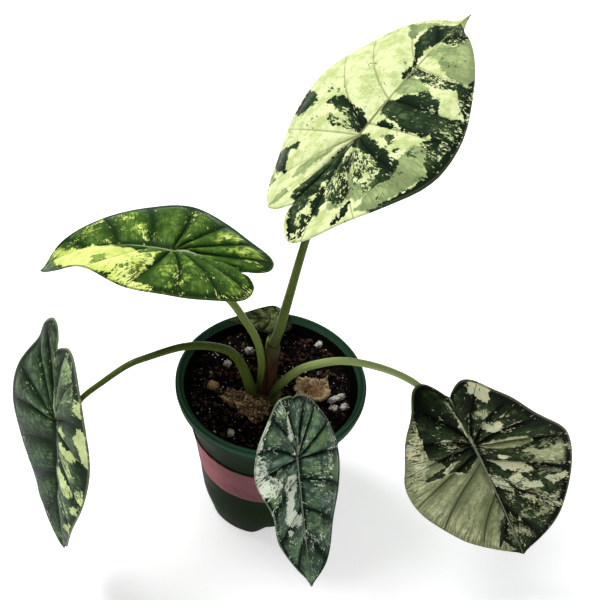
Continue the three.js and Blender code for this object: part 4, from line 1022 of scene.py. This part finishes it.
# Painted light towards the blade on some stalks, and painted shade on others.
stalk_skin.coat(stalk_skin.times(stalk_along, stalk_skin.mark("sunny")), rgb(200, 216, 150))
stalk_shade = stalk_skin.times(stalk_skin.ramp(stalk_along, 0.0, 0.3), stalk_skin.mark("shady"))
stalk_skin.coat(stalk_shade, rgb(58, 72, 20))
stalk_skin.coat(stalk_skin.times(stalk_dots, 0.35), rgb(186, 200, 140))
stalk_skin.coat(stalk_skin.ramp(stalk_along, 0.02, 0.2, 0.75, 0.0), rgb(52, 48, 22))
stalk_skin.bump(stalk_streak, 0.3, 0.0004)
print("stalk finish with", len(stalk_skin.tree.nodes), "nodes")

# %% Stalk meshes
STALK_SIDES = 28
# How much painted light and how much painted shade a stalk carries.
STALK_LIGHTS = {"right": (1, 0), "top": (0, 0.65), "left": (0.2, 0), "far_left": (0, 0.85)}


def stalk_radius(share, foot, end, length):
    """A stalk's radius at a share of its length, with a small flare where the blade sits."""
    flare = np.clip(1 - (1 - share) * length / 4, 0, 1) ** 2
    return end + (foot - end) * (1 - share) ** 2 + 0.5 * flare


for stalk_name, (stalk_radii, *_) in STALKS.items():
    stalk_line, stalk_length = stalk_path(stalk_name)
    stalk_bm = tube(stalk_line, lambda share: stalk_radius(share, *stalk_radii, stalk_length),
                    STALK_SIDES)
    sunny, shady = STALK_LIGHTS.get(stalk_name, (0, 0))
    add_marks(stalk_bm, sunny=[sunny] * len(stalk_bm.verts), shady=[shady] * len(stalk_bm.verts))
    finish_piece("petiole_" + stalk_name, stalk_bm, stalk_skin, "stalk_green",
                 "stalk_" + stalk_name)

# %% [markdown]
# ## Pot
# A nursery pot is injection moulded: one thin wall of dark green plastic, with a stepped rim and
# a foot cut into four low arches. It is turned, so its profile is spun. The arches are pushed up
# into the foot by moving the lowest rows, and a bevel modifier rounds the moulded corners.

# %% Pot profile
POT_BODY = ((0, 38.6), (4, 39.5), (12, 41.2), (20, 42.7), (32, 44), (47, 45), (60, 46.4),
            (72, 48.3), (90, 51.6), (109, 54.6))
POT_RIM = ((59.2, 110.4), (59.2, 113.4), (60, 114.2), (60, 116.8), (59.5, 117.3), (59.2, 117.2),
           (58.9, 118), (58.5, 118.9), (58, 119), (57.6, 118.5), (57.2, 118.5), (56, 116.6),
           (55.2, 114.8), (54.7, 114.6), (54.5, 113.8))
POT_WALL = 2
POT_STEPS = 144
FOOT_HEIGHT = 12
FLOOR_TOP = 14.5
FLOOR_UNDERSIDE = 12.5
PAD_RADIUS = 11


def pot_radius(height):
    """The pot's outer radius below the rim."""
    return np.interp(height, [z for z, _ in POT_BODY], [r for _, r in POT_BODY])


def inner_radius(height):
    return float(pot_radius(height)) - POT_WALL


def spun(profile, steps):
    """Spin a profile of (radius, height) points about the upright axis."""
    bm = bmesh.new()
    points = [bm.verts.new((r, 0, z)) for r, z in profile]
    for a, b in zip(points, points[1:]):
        bm.edges.new((a, b))
    bmesh.ops.spin(bm, geom=bm.verts[:] + bm.edges[:], cent=(0, 0, 0), axis=(0, 0, 1),
                   angle=2 * math.pi, steps=steps, use_merge=True)
    bmesh.ops.remove_doubles(bm, verts=bm.verts, dist=1e-4)
    bmesh.ops.recalc_face_normals(bm, faces=bm.faces)
    return bm


foot_rows = np.linspace(0, FOOT_HEIGHT, 7)
outside = [(float(pot_radius(z)), float(z)) for z in (*foot_rows, 20, 32, 47, 60, 72, 90, 109)]
inside = [(r - POT_WALL, z) for z, r in reversed(POT_BODY[3:])]
underside = [(inner_radius(z), float(z)) for z in foot_rows[::-1]]
pot_bm = spun([(0, 0), (PAD_RADIUS, 0), (PAD_RADIUS + 1, FLOOR_UNDERSIDE),
               (inner_radius(FLOOR_UNDERSIDE), FLOOR_UNDERSIDE), *underside, *outside, *POT_RIM,
               *inside, (inner_radius(FLOOR_TOP), FLOOR_TOP), (0, FLOOR_TOP)], POT_STEPS)
print("pot profile spun into", len(pot_bm.faces), "faces")

# %% Foot arches
FIRST_ARCH_ANGLE = -72
ARCH_SPACING = 90
ARCH_HEIGHT = 10.5
ARCH_HALF_WIDTH = 17
FOOT_RADIUS = 39
MIDDLE_RADIUS = 30

for vertex in pot_bm.verts:
    angle = math.atan2(vertex.co.y, vertex.co.x) - math.radians(FIRST_ARCH_ANGLE)
    off = (math.degrees(angle) + ARCH_SPACING / 2) % ARCH_SPACING - ARCH_SPACING / 2
    share = math.radians(off) * FOOT_RADIUS / ARCH_HALF_WIDTH
    in_foot = vertex.co.xy.length > MIDDLE_RADIUS and vertex.co.z < FLOOR_UNDERSIDE
    if in_foot and abs(share) < 1:
        arch = ARCH_HEIGHT * math.cos(share * math.pi / 2) ** 2
        vertex.co.z = arch + vertex.co.z * (FOOT_HEIGHT - arch) / FOOT_HEIGHT
print("arches of", 2 * ARCH_HALF_WIDTH, "by", ARCH_HEIGHT, "mm pushed up")

# %% [markdown]
# ### Marks for the pot's finish, and drain holes
# The finish needs to know what lies inside the pot, where painted shade and soil dust darken it,
# and how much painted highlight each step of the rim carries. Water leaves through four holes in
# the raised floor. Spinning makes only what runs all the way round, so a Boolean modifier cuts
# the holes out of the finished shell, and is used up at once.

# %% Marks on the pot
RIM_FROM = 110
# By radius, how much the rim's lighter green and painted highlight lines show on each step.
RIM_HIGHLIGHTS = ((54.8, 0), (55.2, 0.7), (56, 0.8), (57.2, 0.3), (57.6, 0.4), (58.1, 1), (58.9, 0.8),
             (59.2, 0.3), (59.6, 1), (60, 0.9))


def is_within(place):
    """Whether a place is on the pot's inner side, below the rim's inner step."""
    reach = pot_radius(place.z) + (0.2 if place.z > 109.5 else -1)
    return 14 < place.z < 114.7 and place.xy.length < reach


within = [float(is_within(vertex.co)) for vertex in pot_bm.verts]
lip = [float(np.interp(vertex.co.xy.length, *zip(*RIM_HIGHLIGHTS))) if vertex.co.z > RIM_FROM else 0
       for vertex in pot_bm.verts]
add_marks(pot_bm, within=within, lip=lip)
print(int(sum(within)), "of", len(within), "vertices lie inside")

# %% Drain holes
DRAIN_HOLES = 4
DRAIN_RADIUS = 4
DRAIN_CIRCLE = 25
CUTTER_LENGTH = 12


def bore(piece, cutter_bm):
    """Cut the cutter's shape out of a piece for good, and throw the cutter away."""
    bmesh.ops.scale(cutter_bm, vec=(MM, MM, MM), verts=cutter_bm.verts)
    cutter = bpy.data.objects.new("cutter", bpy.data.meshes.new("cutter"))
    cutter_bm.to_mesh(cutter.data)
    cutter_bm.free()
    bpy.context.scene.collection.objects.link(cutter)
    cut = piece.modifiers.new("bore", "BOOLEAN")
    cut.object = cutter
    cut.solver = "EXACT"
    evaluated = piece.evaluated_get(bpy.context.evaluated_depsgraph_get())
    piece.data = bpy.data.meshes.new_from_object(evaluated)
    piece.modifiers.remove(cut)
    bpy.data.objects.remove(cutter)


drain_bm = bmesh.new()
for i in range(DRAIN_HOLES):
    drain_turn = Matrix.Rotation(math.radians(FIRST_ARCH_ANGLE + ARCH_SPACING * i), 4, "Z")
    drain_place = Matrix.Translation((DRAIN_CIRCLE, 0, FLOOR_TOP))
    bmesh.ops.create_cone(drain_bm, cap_ends=True, segments=32, radius1=DRAIN_RADIUS,
                          radius2=DRAIN_RADIUS, depth=CUTTER_LENGTH,
                          matrix=drain_turn @ drain_place)
print("cutter for", DRAIN_HOLES, "holes of", 2 * DRAIN_RADIUS, "mm")

# %% [markdown]
# ### Pot finish
# Moulded plastic is never one green: it is cloudy, handling leaves fine upright marks, the rim
# is a lighter green with painted highlights along its steps, and the inside is darkened by painted
# shade and soil dust. A light orange-peel bump breaks up the highlights.

# %% Pot finish
pot_plastic = Finish("pot_plastic", Roughness=0.38, Specular_IOR_Level=0.01)
pot_place = pot_plastic.place()
pot_cloud = pot_plastic.noise(pot_place, 30, 5, 0.65)
pot_scuff = pot_plastic.noise(pot_plastic.stretch(pot_place, (1, 1, 0.08)), 260, 4, 0.7)
pot_plastic.paint(pot_plastic.ramp(pot_cloud, 0.3, 0.7), rgb(14, 27, 11), rgb(24, 38, 18))
pot_plastic.coat(pot_plastic.ramp(pot_scuff, 0.62, 0.8, 0.0, 0.2), rgb(50, 62, 44))
# The rim's lighter green, with painted highlights on its steps.
pot_plastic.coat(pot_plastic.mark("lip"), rgb(50, 82, 62))
# Painted shade with soil dust, nearly black on the inner wall.
pot_dust_and_shade = pot_plastic.plus(pot_plastic.mark("within"), pot_cloud)
pot_plastic.coat(pot_plastic.ramp(pot_dust_and_shade, 0.9, 1.3), rgb(10, 11, 8))
pot_plastic.set("Roughness", pot_plastic.ramp(pot_cloud, 0.3, 0.7, 0.32, 0.5))
pot_plastic.bump(pot_plastic.noise(pot_place, 900, 3, 0.6), 0.12, 0.0003)

pot = finish_piece("pot_shell", pot_bm, pot_plastic, "pot_green", "pot")
bore(pot, drain_bm)
pot_rounding = pot.modifiers.new("rounding", "BEVEL")
pot_rounding.width = 0.35 * MM
pot_rounding.segments = 2
pot_rounding.limit_method = "ANGLE"
pot_rounding.angle_limit = math.radians(32)
print("with its drain holes the pot has", len(pot.data.polygons), "faces")

# %% [markdown]
# ## Label
# A bare strip of pink paper is stuck round the pot. It is a grid wrapped round the taper, with
# faint creases where the paper didn't lie flat, and painted shade darkens its right half.

# %% Label shape
LABEL_START = -128
LABEL_TURN = 190
LABEL_FOOT = 49
LABEL_HEIGHT = 33
LABEL_STAND_OFF = 0.75
LABEL_THICKNESS = 0.4

label_bm, label_u, label_v = flat_grid(150, 20)
label_angle = np.radians(LABEL_START + LABEL_TURN * label_u)
label_z = LABEL_FOOT + LABEL_HEIGHT * label_v
label_crease = 0.12 * np.sin(label_u * 90 + 3 * np.sin(label_v * 4))
label_crease = label_crease * np.sin(label_v * 7 + label_u * 30)
label_out = pot_radius(label_z) + LABEL_STAND_OFF + label_crease
move_vertices(label_bm, np.stack([label_out * np.sin(label_angle),
                                  -label_out * np.cos(label_angle), label_z], 1))
add_marks(label_bm, along=label_u)
print("label wrapped over", LABEL_TURN, "degrees")

# %% Label finish
label_paper = Finish("label_paper", Roughness=0.62, Specular_IOR_Level=0.15)
label_place = label_paper.place()
label_cloud = label_paper.noise(label_place, 60, 5, 0.7)
label_fibre = label_paper.noise(label_paper.stretch(label_place, (1, 1, 4)), 500, 3, 0.6)
label_paper.paint(label_paper.ramp(label_cloud, 0.3, 0.7), rgb(134, 62, 70), rgb(162, 86, 92))
# Painted shade over the label's right half.
label_shade = label_paper.ramp(label_paper.mark("along"), 0.4, 0.6, 0.0, 0.75)
label_paper.coat(label_shade, rgb(76, 40, 42))
label_paper.coat(label_paper.ramp(label_fibre, 0.55, 0.75, 0.0, 0.2), rgb(186, 122, 124))
label_paper.bump(label_fibre, 0.2, 0.0003)
label = finish_piece("label_strip", label_bm, label_paper, "label_pink", "label")
thicken(label, LABEL_THICKNESS)

# %% [markdown]
# ## Soil
# Potting mix is dark, loose and crumbly. Its body is spun and its surface is pushed up and down
# by waves and by noise at two sizes. Over it lie hundreds of crumbs, flakes and grains, each one
# a ball of a few faces, pressed out of shape.

# %% Soil body
SOIL_LEVEL = 110
SOIL_FOOT = 14.8
SOIL_INSET = 2.3
SOIL_RINGS = 66
SOIL_STEPS = 200


def soil_height(x, y):
    """The height of the soil's broad waves and its slight dome."""
    ripple = np.sin(x * 0.31 + 1) * np.cos(y * 0.27) + 0.6 * np.sin(x * 0.13 - y * 0.39 + 2)
    return SOIL_LEVEL + 1.1 * ripple - 0.0007 * (x * x + y * y)


def crumble(x, y):
    """Height of the fine lumps on the soil's surface."""
    lump = noise.fractal(Vector((x / 7, y / 7, 1)), 0.7, 2.2, 4)
    grit = noise.noise(Vector((x / 1.6, y / 1.6, 5)))
    return 0.9 * lump + 0.45 * grit


soil_side = [(float(pot_radius(z)) - SOIL_INSET, z) for z in (SOIL_FOOT, 20, 32, 47, 60, 72, 90)]
soil_edge = float(pot_radius(104)) - SOIL_INSET
soil_top = [(soil_edge * (1 - i / SOIL_RINGS), SOIL_LEVEL) for i in range(SOIL_RINGS + 1)]
soil_bm = spun([(0, SOIL_FOOT), *soil_side, *soil_top], SOIL_STEPS)
for vertex in soil_bm.verts:
    if vertex.co.z > SOIL_LEVEL - 1:
        x, y = vertex.co.x, vertex.co.y
        rim_fade = min(1, (soil_edge - math.hypot(x, y)) / 3)
        vertex.co.z = float(soil_height(x, y)) + crumble(x, y) * rim_fade
soil_top_place = max(vertex.co.z for vertex in soil_bm.verts)
print("the highest lump of soil is at", round(soil_top_place, 1), "mm")

# %% Soil finish
soil_mix = Finish("soil_mix", Roughness=0.95, Specular_IOR_Level=0.05)
soil_place = soil_mix.place()
soil_lumps = soil_mix.noise(soil_place, 240, 6, 0.7)
soil_mix.paint(soil_mix.ramp(soil_lumps, 0.35, 0.65), rgb(4, 3, 3), rgb(17, 13, 11))
soil_grit = soil_mix.cells(soil_place, 900)
soil_mix.coat(soil_mix.ramp(soil_grit, 0.16, 0.05, 0.0, 0.4), rgb(96, 76, 56))
soil_mix.bump(soil_lumps, 0.8, 0.002)
finish_piece("soil_body", soil_bm, soil_mix, "soil_brown", "soil")

# %% [markdown]
# ### Crumbs, flakes and grains
# The loose bits are sown at random with a fixed seed, so that every run gives the same soil.
# Each kind is one piece: joining hundreds of small balls in one mesh keeps the scene light.

# %% Sowing loose bits
CROWN_PLACE = (-2.5, -9.5)
CROWN_KEPT_FREE = 9
SOWN_RADIUS = 51


def sow(name, count, sizes, flatness, finish, slot, seed):
    """Scatter pressed balls over the soil."""
    dice = random.Random(seed)
    bm = bmesh.new()
    for _ in range(count):
        distance, turn = SOWN_RADIUS * math.sqrt(dice.random()), dice.uniform(0, 2 * math.pi)
        x, y = distance * math.cos(turn), distance * math.sin(turn)
        if math.hypot(x - CROWN_PLACE[0], y - CROWN_PLACE[1]) < CROWN_KEPT_FREE:
            continue
        size = dice.uniform(*sizes)
        squash = (dice.uniform(0.7, 1.5), dice.uniform(0.6, 1), dice.uniform(*flatness))
        place = Matrix.Translation((x, y, float(soil_height(x, y)) + size * squash[2] * 0.5))
        turned = Matrix.Rotation(dice.uniform(0, 6.28), 4, "Z") @ Matrix.Rotation(
            dice.uniform(-0.5, 0.5), 4, "X")
        scale = Matrix.Diagonal((*[size * s for s in squash], 1))
        ball = bmesh.ops.create_icosphere(bm, subdivisions=1, radius=0.5,
                                          matrix=place @ turned @ scale)
        for vertex in ball["verts"]:
            centre = place.translation
            rough = 1 + 0.35 * noise.noise(vertex.co * 1.3 + Vector((seed, 0, 0)))
            vertex.co = centre + (vertex.co - centre) * rough
    finish_piece(name, bm, finish, slot)


crumb_finish = Finish("soil_crumb", Roughness=0.95, Specular_IOR_Level=0.05)
crumb_place = crumb_finish.place()
crumb_cloud = crumb_finish.noise(crumb_place, 150, 4)
crumb_finish.paint(crumb_finish.ramp(crumb_cloud, 0.42, 0.66), rgb(4, 3, 3), rgb(76, 52, 44))
crumb_finish.bump(crumb_finish.noise(crumb_place, 1500, 4), 0.6, 0.0006)
sow("soil_crumbs", 900, (1.2, 4.2), (0.5, 0.9), crumb_finish, "soil_brown", 3)

# %% White grains
pumice_finish = Finish("pumice_grain", Roughness=0.9, Specular_IOR_Level=0.3)
pumice_place = pumice_finish.place()
pumice_cloud = pumice_finish.ramp(pumice_finish.noise(pumice_place, 420, 5), 0.4, 0.6)
pumice_pits = pumice_finish.cells(pumice_place, 1500)
pumice_finish.paint(pumice_cloud, rgb(150, 142, 128), rgb(236, 232, 222))
# The pits are darkened with painted shade.
pumice_finish.coat(pumice_finish.ramp(pumice_pits, 0.2, 0.02, 0, 0.6), rgb(120, 108, 92))
pumice_finish.bump(pumice_pits, 0.8, 0.0006)
sow("pumice_specks", 520, (0.25, 1.5), (0.5, 0.9), pumice_finish, "pumice_white", 11)

# %% Flakes of bark
flake_finish = Finish("soil_fibre", Roughness=0.9, Specular_IOR_Level=0.2)
flake_cloud = flake_finish.noise(flake_finish.place(), 220, 3)
flake_finish.paint(flake_finish.ramp(flake_cloud, 0.35, 0.65), rgb(20, 12, 10), rgb(80, 52, 40))
sow("bark_bits", 220, (0.8, 3.4), (0.2, 0.45), flake_finish, "bark_tan", 23)

# %% [markdown]
# ## Crown and sheath
# All stalks leave one short stem, the crown, which is wrapped in the dry remains of old leaf
# bases. Round the tallest stalk the wrap still stands as a thin sheath. Both are tubes whose
# radius is worked out from ridges that run lengthwise.

# %% Crown and sheath
CROWN_RADIUS = 13.5
CROWN_TOP = 113.4
CROWN_FOOT = 95.5
CROWN_ROWS = 31
SHEATH_PATH = ((-2.5, -7, 104), (-2.2, -5.4, 120), (-1.7, -3.6, 134), (-0.8, -1.5, 149))

crown_skin = Finish("crown_skin", Roughness=0.8, Specular_IOR_Level=0.3)
crown_fibre = crown_skin.noise(crown_skin.stretch(crown_skin.flow(), (26, 3, 1)), 1.0, 6, 0.7)
crown_skin.paint(crown_skin.ramp(crown_fibre, 0.35, 0.65), rgb(20, 9, 4), rgb(92, 52, 24))
crown_skin.coat(crown_skin.ramp(crown_skin.mark("along"), 0.7, 0.95, 0.0, 0.6), rgb(84, 86, 40))
crown_skin.bump(crown_fibre, 0.9, 0.001)

sheath_line, _ = curve_through(SHEATH_PATH, 60)
sheath_bm = tube(sheath_line, lambda share: 5.6 - 1.4 * share, 64,
                 lambda turn, share: 1 + 0.05 * np.sin(turn * 7 + share * 3)
                 + 0.03 * np.sin(turn * 17 - share * 5))
finish_piece("crown_sheath", sheath_bm, crown_skin, "crown_brown", "crown")

stub_line = np.stack([np.full(CROWN_ROWS, CROWN_PLACE[0]), np.full(CROWN_ROWS, CROWN_PLACE[1]),
                      np.linspace(CROWN_FOOT, CROWN_TOP, CROWN_ROWS)], 1)
stub_bm = tube(stub_line,
               lambda share: CROWN_RADIUS * np.sqrt(np.clip(1.02 - share**6, 0, 1)), 72,
               lambda turn, share: 1 + 0.04 * np.sin(turn * 9 + share * 8)
               + 0.03 * np.sin(turn * 23 - share * 4))
finish_piece("crown_stub", stub_bm, crown_skin, "crown_brown", "crown")

# %% [markdown]
# ## Pieces lying on the soil
# A torn block of coir, a chip and a curl of bark and a few pale grains lie on top. Each is a ball
# or a grid shaped by the same formula as its solid, then roughened by finer noise.

# %% Lumps and where they rest
REST_LIFT = 0.45
LUMP_CUT = 0.42


def crown_height(x, y):
    """The crown's height under a place, and 0 beside it."""
    away = np.hypot(x - CROWN_PLACE[0], y - CROWN_PLACE[1])
    return np.where(away > CROWN_RADIUS, 0, CROWN_TOP - 0.02 * away**2)


def rest_height(at, turn, length, width):
    """The highest soil or crown under the middle of a piece."""
    u, v = np.meshgrid(np.arange(-0.3, 0.31, 0.1), np.arange(-0.3, 0.31, 0.2))
    c, s = math.cos(math.radians(turn)), math.sin(math.radians(turn))
    x = at[0] + u * length * c - v * width * s
    y = at[1] + u * length * s + v * width * c
    return float(np.maximum(soil_height(x, y), crown_height(x, y)).max()) + REST_LIFT


def make_lump(at, turn, size, roughness, taper, fine, detail=4):
    """A rough lump, half ball and half box, with a flat underside."""
    bm = bmesh.new()
    bmesh.ops.create_icosphere(bm, subdivisions=detail, radius=0.5)
    height = rest_height(at, turn, size[0], size[1]) + LUMP_CUT * size[2]
    spin = Matrix.Rotation(math.radians(turn), 4, "Z")
    for vertex in bm.verts:
        p = vertex.co.copy()
        boxy = 0.5 / max(abs(p.x), abs(p.y), abs(p.z))
        wave = math.sin(p.x * 11 + at[0]) * math.sin(p.y * 9 + at[1]) * math.sin(p.z * 8 + 1)
        rough = noise.fractal(p * 6 + Vector((at[0], at[1], 0)), 0.8, 2.1, 4)
        p *= (0.45 * boxy + 0.55) * (1 + roughness * wave) * (1 + fine * rough)
        p = Vector((p.x * size[0], p.y * size[1] * (1 + taper * p.x),
                    max(p.z, -LUMP_CUT) * size[2]))
        vertex.co = spin @ p + Vector((at[0], at[1], height))
    return bm


coir_bm = make_lump((-14, -20.5), -25, (27, 12, 7.5), 0.2, 0.5, 0.4, detail=6)
bark_chip_bm = make_lump((-36, -6.5), -20, (7, 6, 4), 0.15, 0.0, 0.2)
shard_bm = make_lump((41.5, -5.5), 33, (12, 3.4, 3), 0.14, 0.2, 0.4)
print("the coir block has", len(coir_bm.verts), "vertices")

# %% Coir, bark and grains
coir_finish = Finish("coir", Roughness=0.95, Specular_IOR_Level=0.2)
coir_place = coir_finish.place()
coir_grain = coir_finish.noise(coir_place, 520, 6, 0.7)
# Painted shade in the hollows and in the gaps between crumbs.
coir_hollow_shade = coir_finish.ramp(coir_finish.noise(coir_place, 170, 4, 0.7), 0.4, 0.6, 0.65, 0.0)
coir_gap_shade = coir_finish.ramp(coir_finish.cells(coir_place, 620), 0.45, 0.85, 0.0, 0.5)
coir_finish.paint(coir_finish.ramp(coir_grain, 0.44, 0.56), rgb(70, 44, 28), rgb(240, 194, 150))
coir_finish.coat(coir_hollow_shade, rgb(40, 26, 16))
coir_finish.coat(coir_gap_shade, rgb(22, 14, 9))
coir_finish.bump(coir_grain, 1.0, 0.0015)
bark_finish = Finish("bark_flake", Roughness=0.85, Specular_IOR_Level=0.25)
bark_grain = bark_finish.noise(bark_finish.stretch(bark_finish.place(), (1, 3.5, 3.5)), 260, 6, 0.7)
bark_finish.paint(bark_finish.ramp(bark_grain, 0.3, 0.62), rgb(104, 72, 46), rgb(190, 154, 106))
bark_finish.coat(bark_finish.ramp(bark_grain, 0.36, 0.28, 0, 0.9), rgb(40, 24, 14))
bark_finish.bump(bark_grain, 0.9, 0.0012)
finish_piece("coir_lump", coir_bm, coir_finish, "coir_brown", "coir_block")
finish_piece("bark_lump", bark_chip_bm, bark_finish, "bark_tan", "bark_chip")
finish_piece("pumice_shard", shard_bm, pumice_finish, "pumice_white", "pumice_sliver")
PUMICE_PLACES = ((40.4, -12), (47.2, -10.5), (-20, -41), (-29.4, 12.7), (-17.4, 26.3), (28, 41))
for i, grain_place in enumerate(PUMICE_PLACES):
    grain = make_lump(grain_place, 50 * i, (4.6, 3.6, 3), 0.24, 0.2, 0.5)
    finish_piece(f"pumice_grain_{i + 1}", grain, pumice_finish, "pumice_white", f"pumice_{i + 1}")

# %% [markdown]
# ### Curled bark
# The curl is a torn sheet: a grid with a ragged outline, cupped upwards and wrinkled by sines.
# Its edge is bleached, so each vertex keeps a mark for how near the edge it is.

# %% Curled bark shape
CURL_PLACE = (26.5, -4.5)
CURL_TURN = 8
CURL_HALF_LENGTH = 10
CURL_HALF_WIDTH = 7.5
CURL_THICKNESS = 1.7
CURL_LIFT = 1.8

curl_bm, curl_u, curl_v = flat_grid(70, 54)
u, v = curl_u * 2 - 1, curl_v * 2 - 1
to_edge = np.maximum(abs(u), abs(v))
around = np.arctan2(v, u)
lobes = 0.09 * np.sin(5 * around + 1) + 0.05 * np.sin(11 * around) + 0.03 * np.sin(23 * around)
ragged = 1 - 0.08 * np.sin(5 * u + 2) * np.sin(4 * v + 1)
ragged *= 1 - 0.13 * u * u * v * v
ragged *= 1 + 0.05 * np.sin(13 * u + 9 * v) * to_edge**4
ragged *= 1 + lobes * to_edge**3
cup = 4.2 * v * v + 2.6 * u * u + 1.1 * np.sin(4 * u + 3 * v)
wrinkled = cup + 0.3 * np.sin(9 * u + 2) * np.sin(11 * v)
wrinkled += 0.35 * np.sin(17 * u + 6 * v) * np.sin(14 * v - 5 * u)
curl_rest = rest_height(CURL_PLACE, CURL_TURN, CURL_HALF_LENGTH, CURL_HALF_WIDTH)
long_way, wide_way = u * CURL_HALF_LENGTH * ragged, v * CURL_HALF_WIDTH * ragged
cosine, sine = math.cos(math.radians(CURL_TURN)), math.sin(math.radians(CURL_TURN))
move_vertices(curl_bm, np.stack([
    CURL_PLACE[0] + long_way * cosine - wide_way * sine,
    CURL_PLACE[1] + long_way * sine + wide_way * cosine,
    curl_rest - float(cup.min()) + wrinkled + CURL_LIFT], 1))
add_marks(curl_bm, edge=to_edge**2)
print("the curl is", round(float(np.ptp(wrinkled)), 1), "mm deep")

# %% Curled bark finish
curl_finish = Finish("bark_curl", Roughness=0.8, Specular_IOR_Level=0.25)
curl_place = curl_finish.place()
curl_grain = curl_finish.noise(curl_place, 420, 6, 0.7)
curl_crack = curl_finish.plus(curl_finish.noise(curl_place, 120, 3, 0.6, 1.0), -0.5)
curl_crack = curl_finish.ramp(curl_finish.work_out("ABSOLUTE", curl_crack), 0.004, 0.02, 0.85, 0.0)
curl_finish.paint(curl_finish.ramp(curl_finish.mark("edge"), 0.15, 0.8), rgb(168, 130, 92),
                  rgb(224, 196, 152))
curl_finish.coat(curl_finish.ramp(curl_grain, 0.4, 0.6, 0.6, 0.0), rgb(84, 54, 34))
curl_finish.coat(curl_crack, rgb(52, 22, 14))
curl_finish.bump(curl_grain, 0.9, 0.001)
curl = finish_piece("bark_curl", curl_bm, curl_finish, "bark_tan", "curled_bark")
thicken(curl, CURL_THICKNESS)
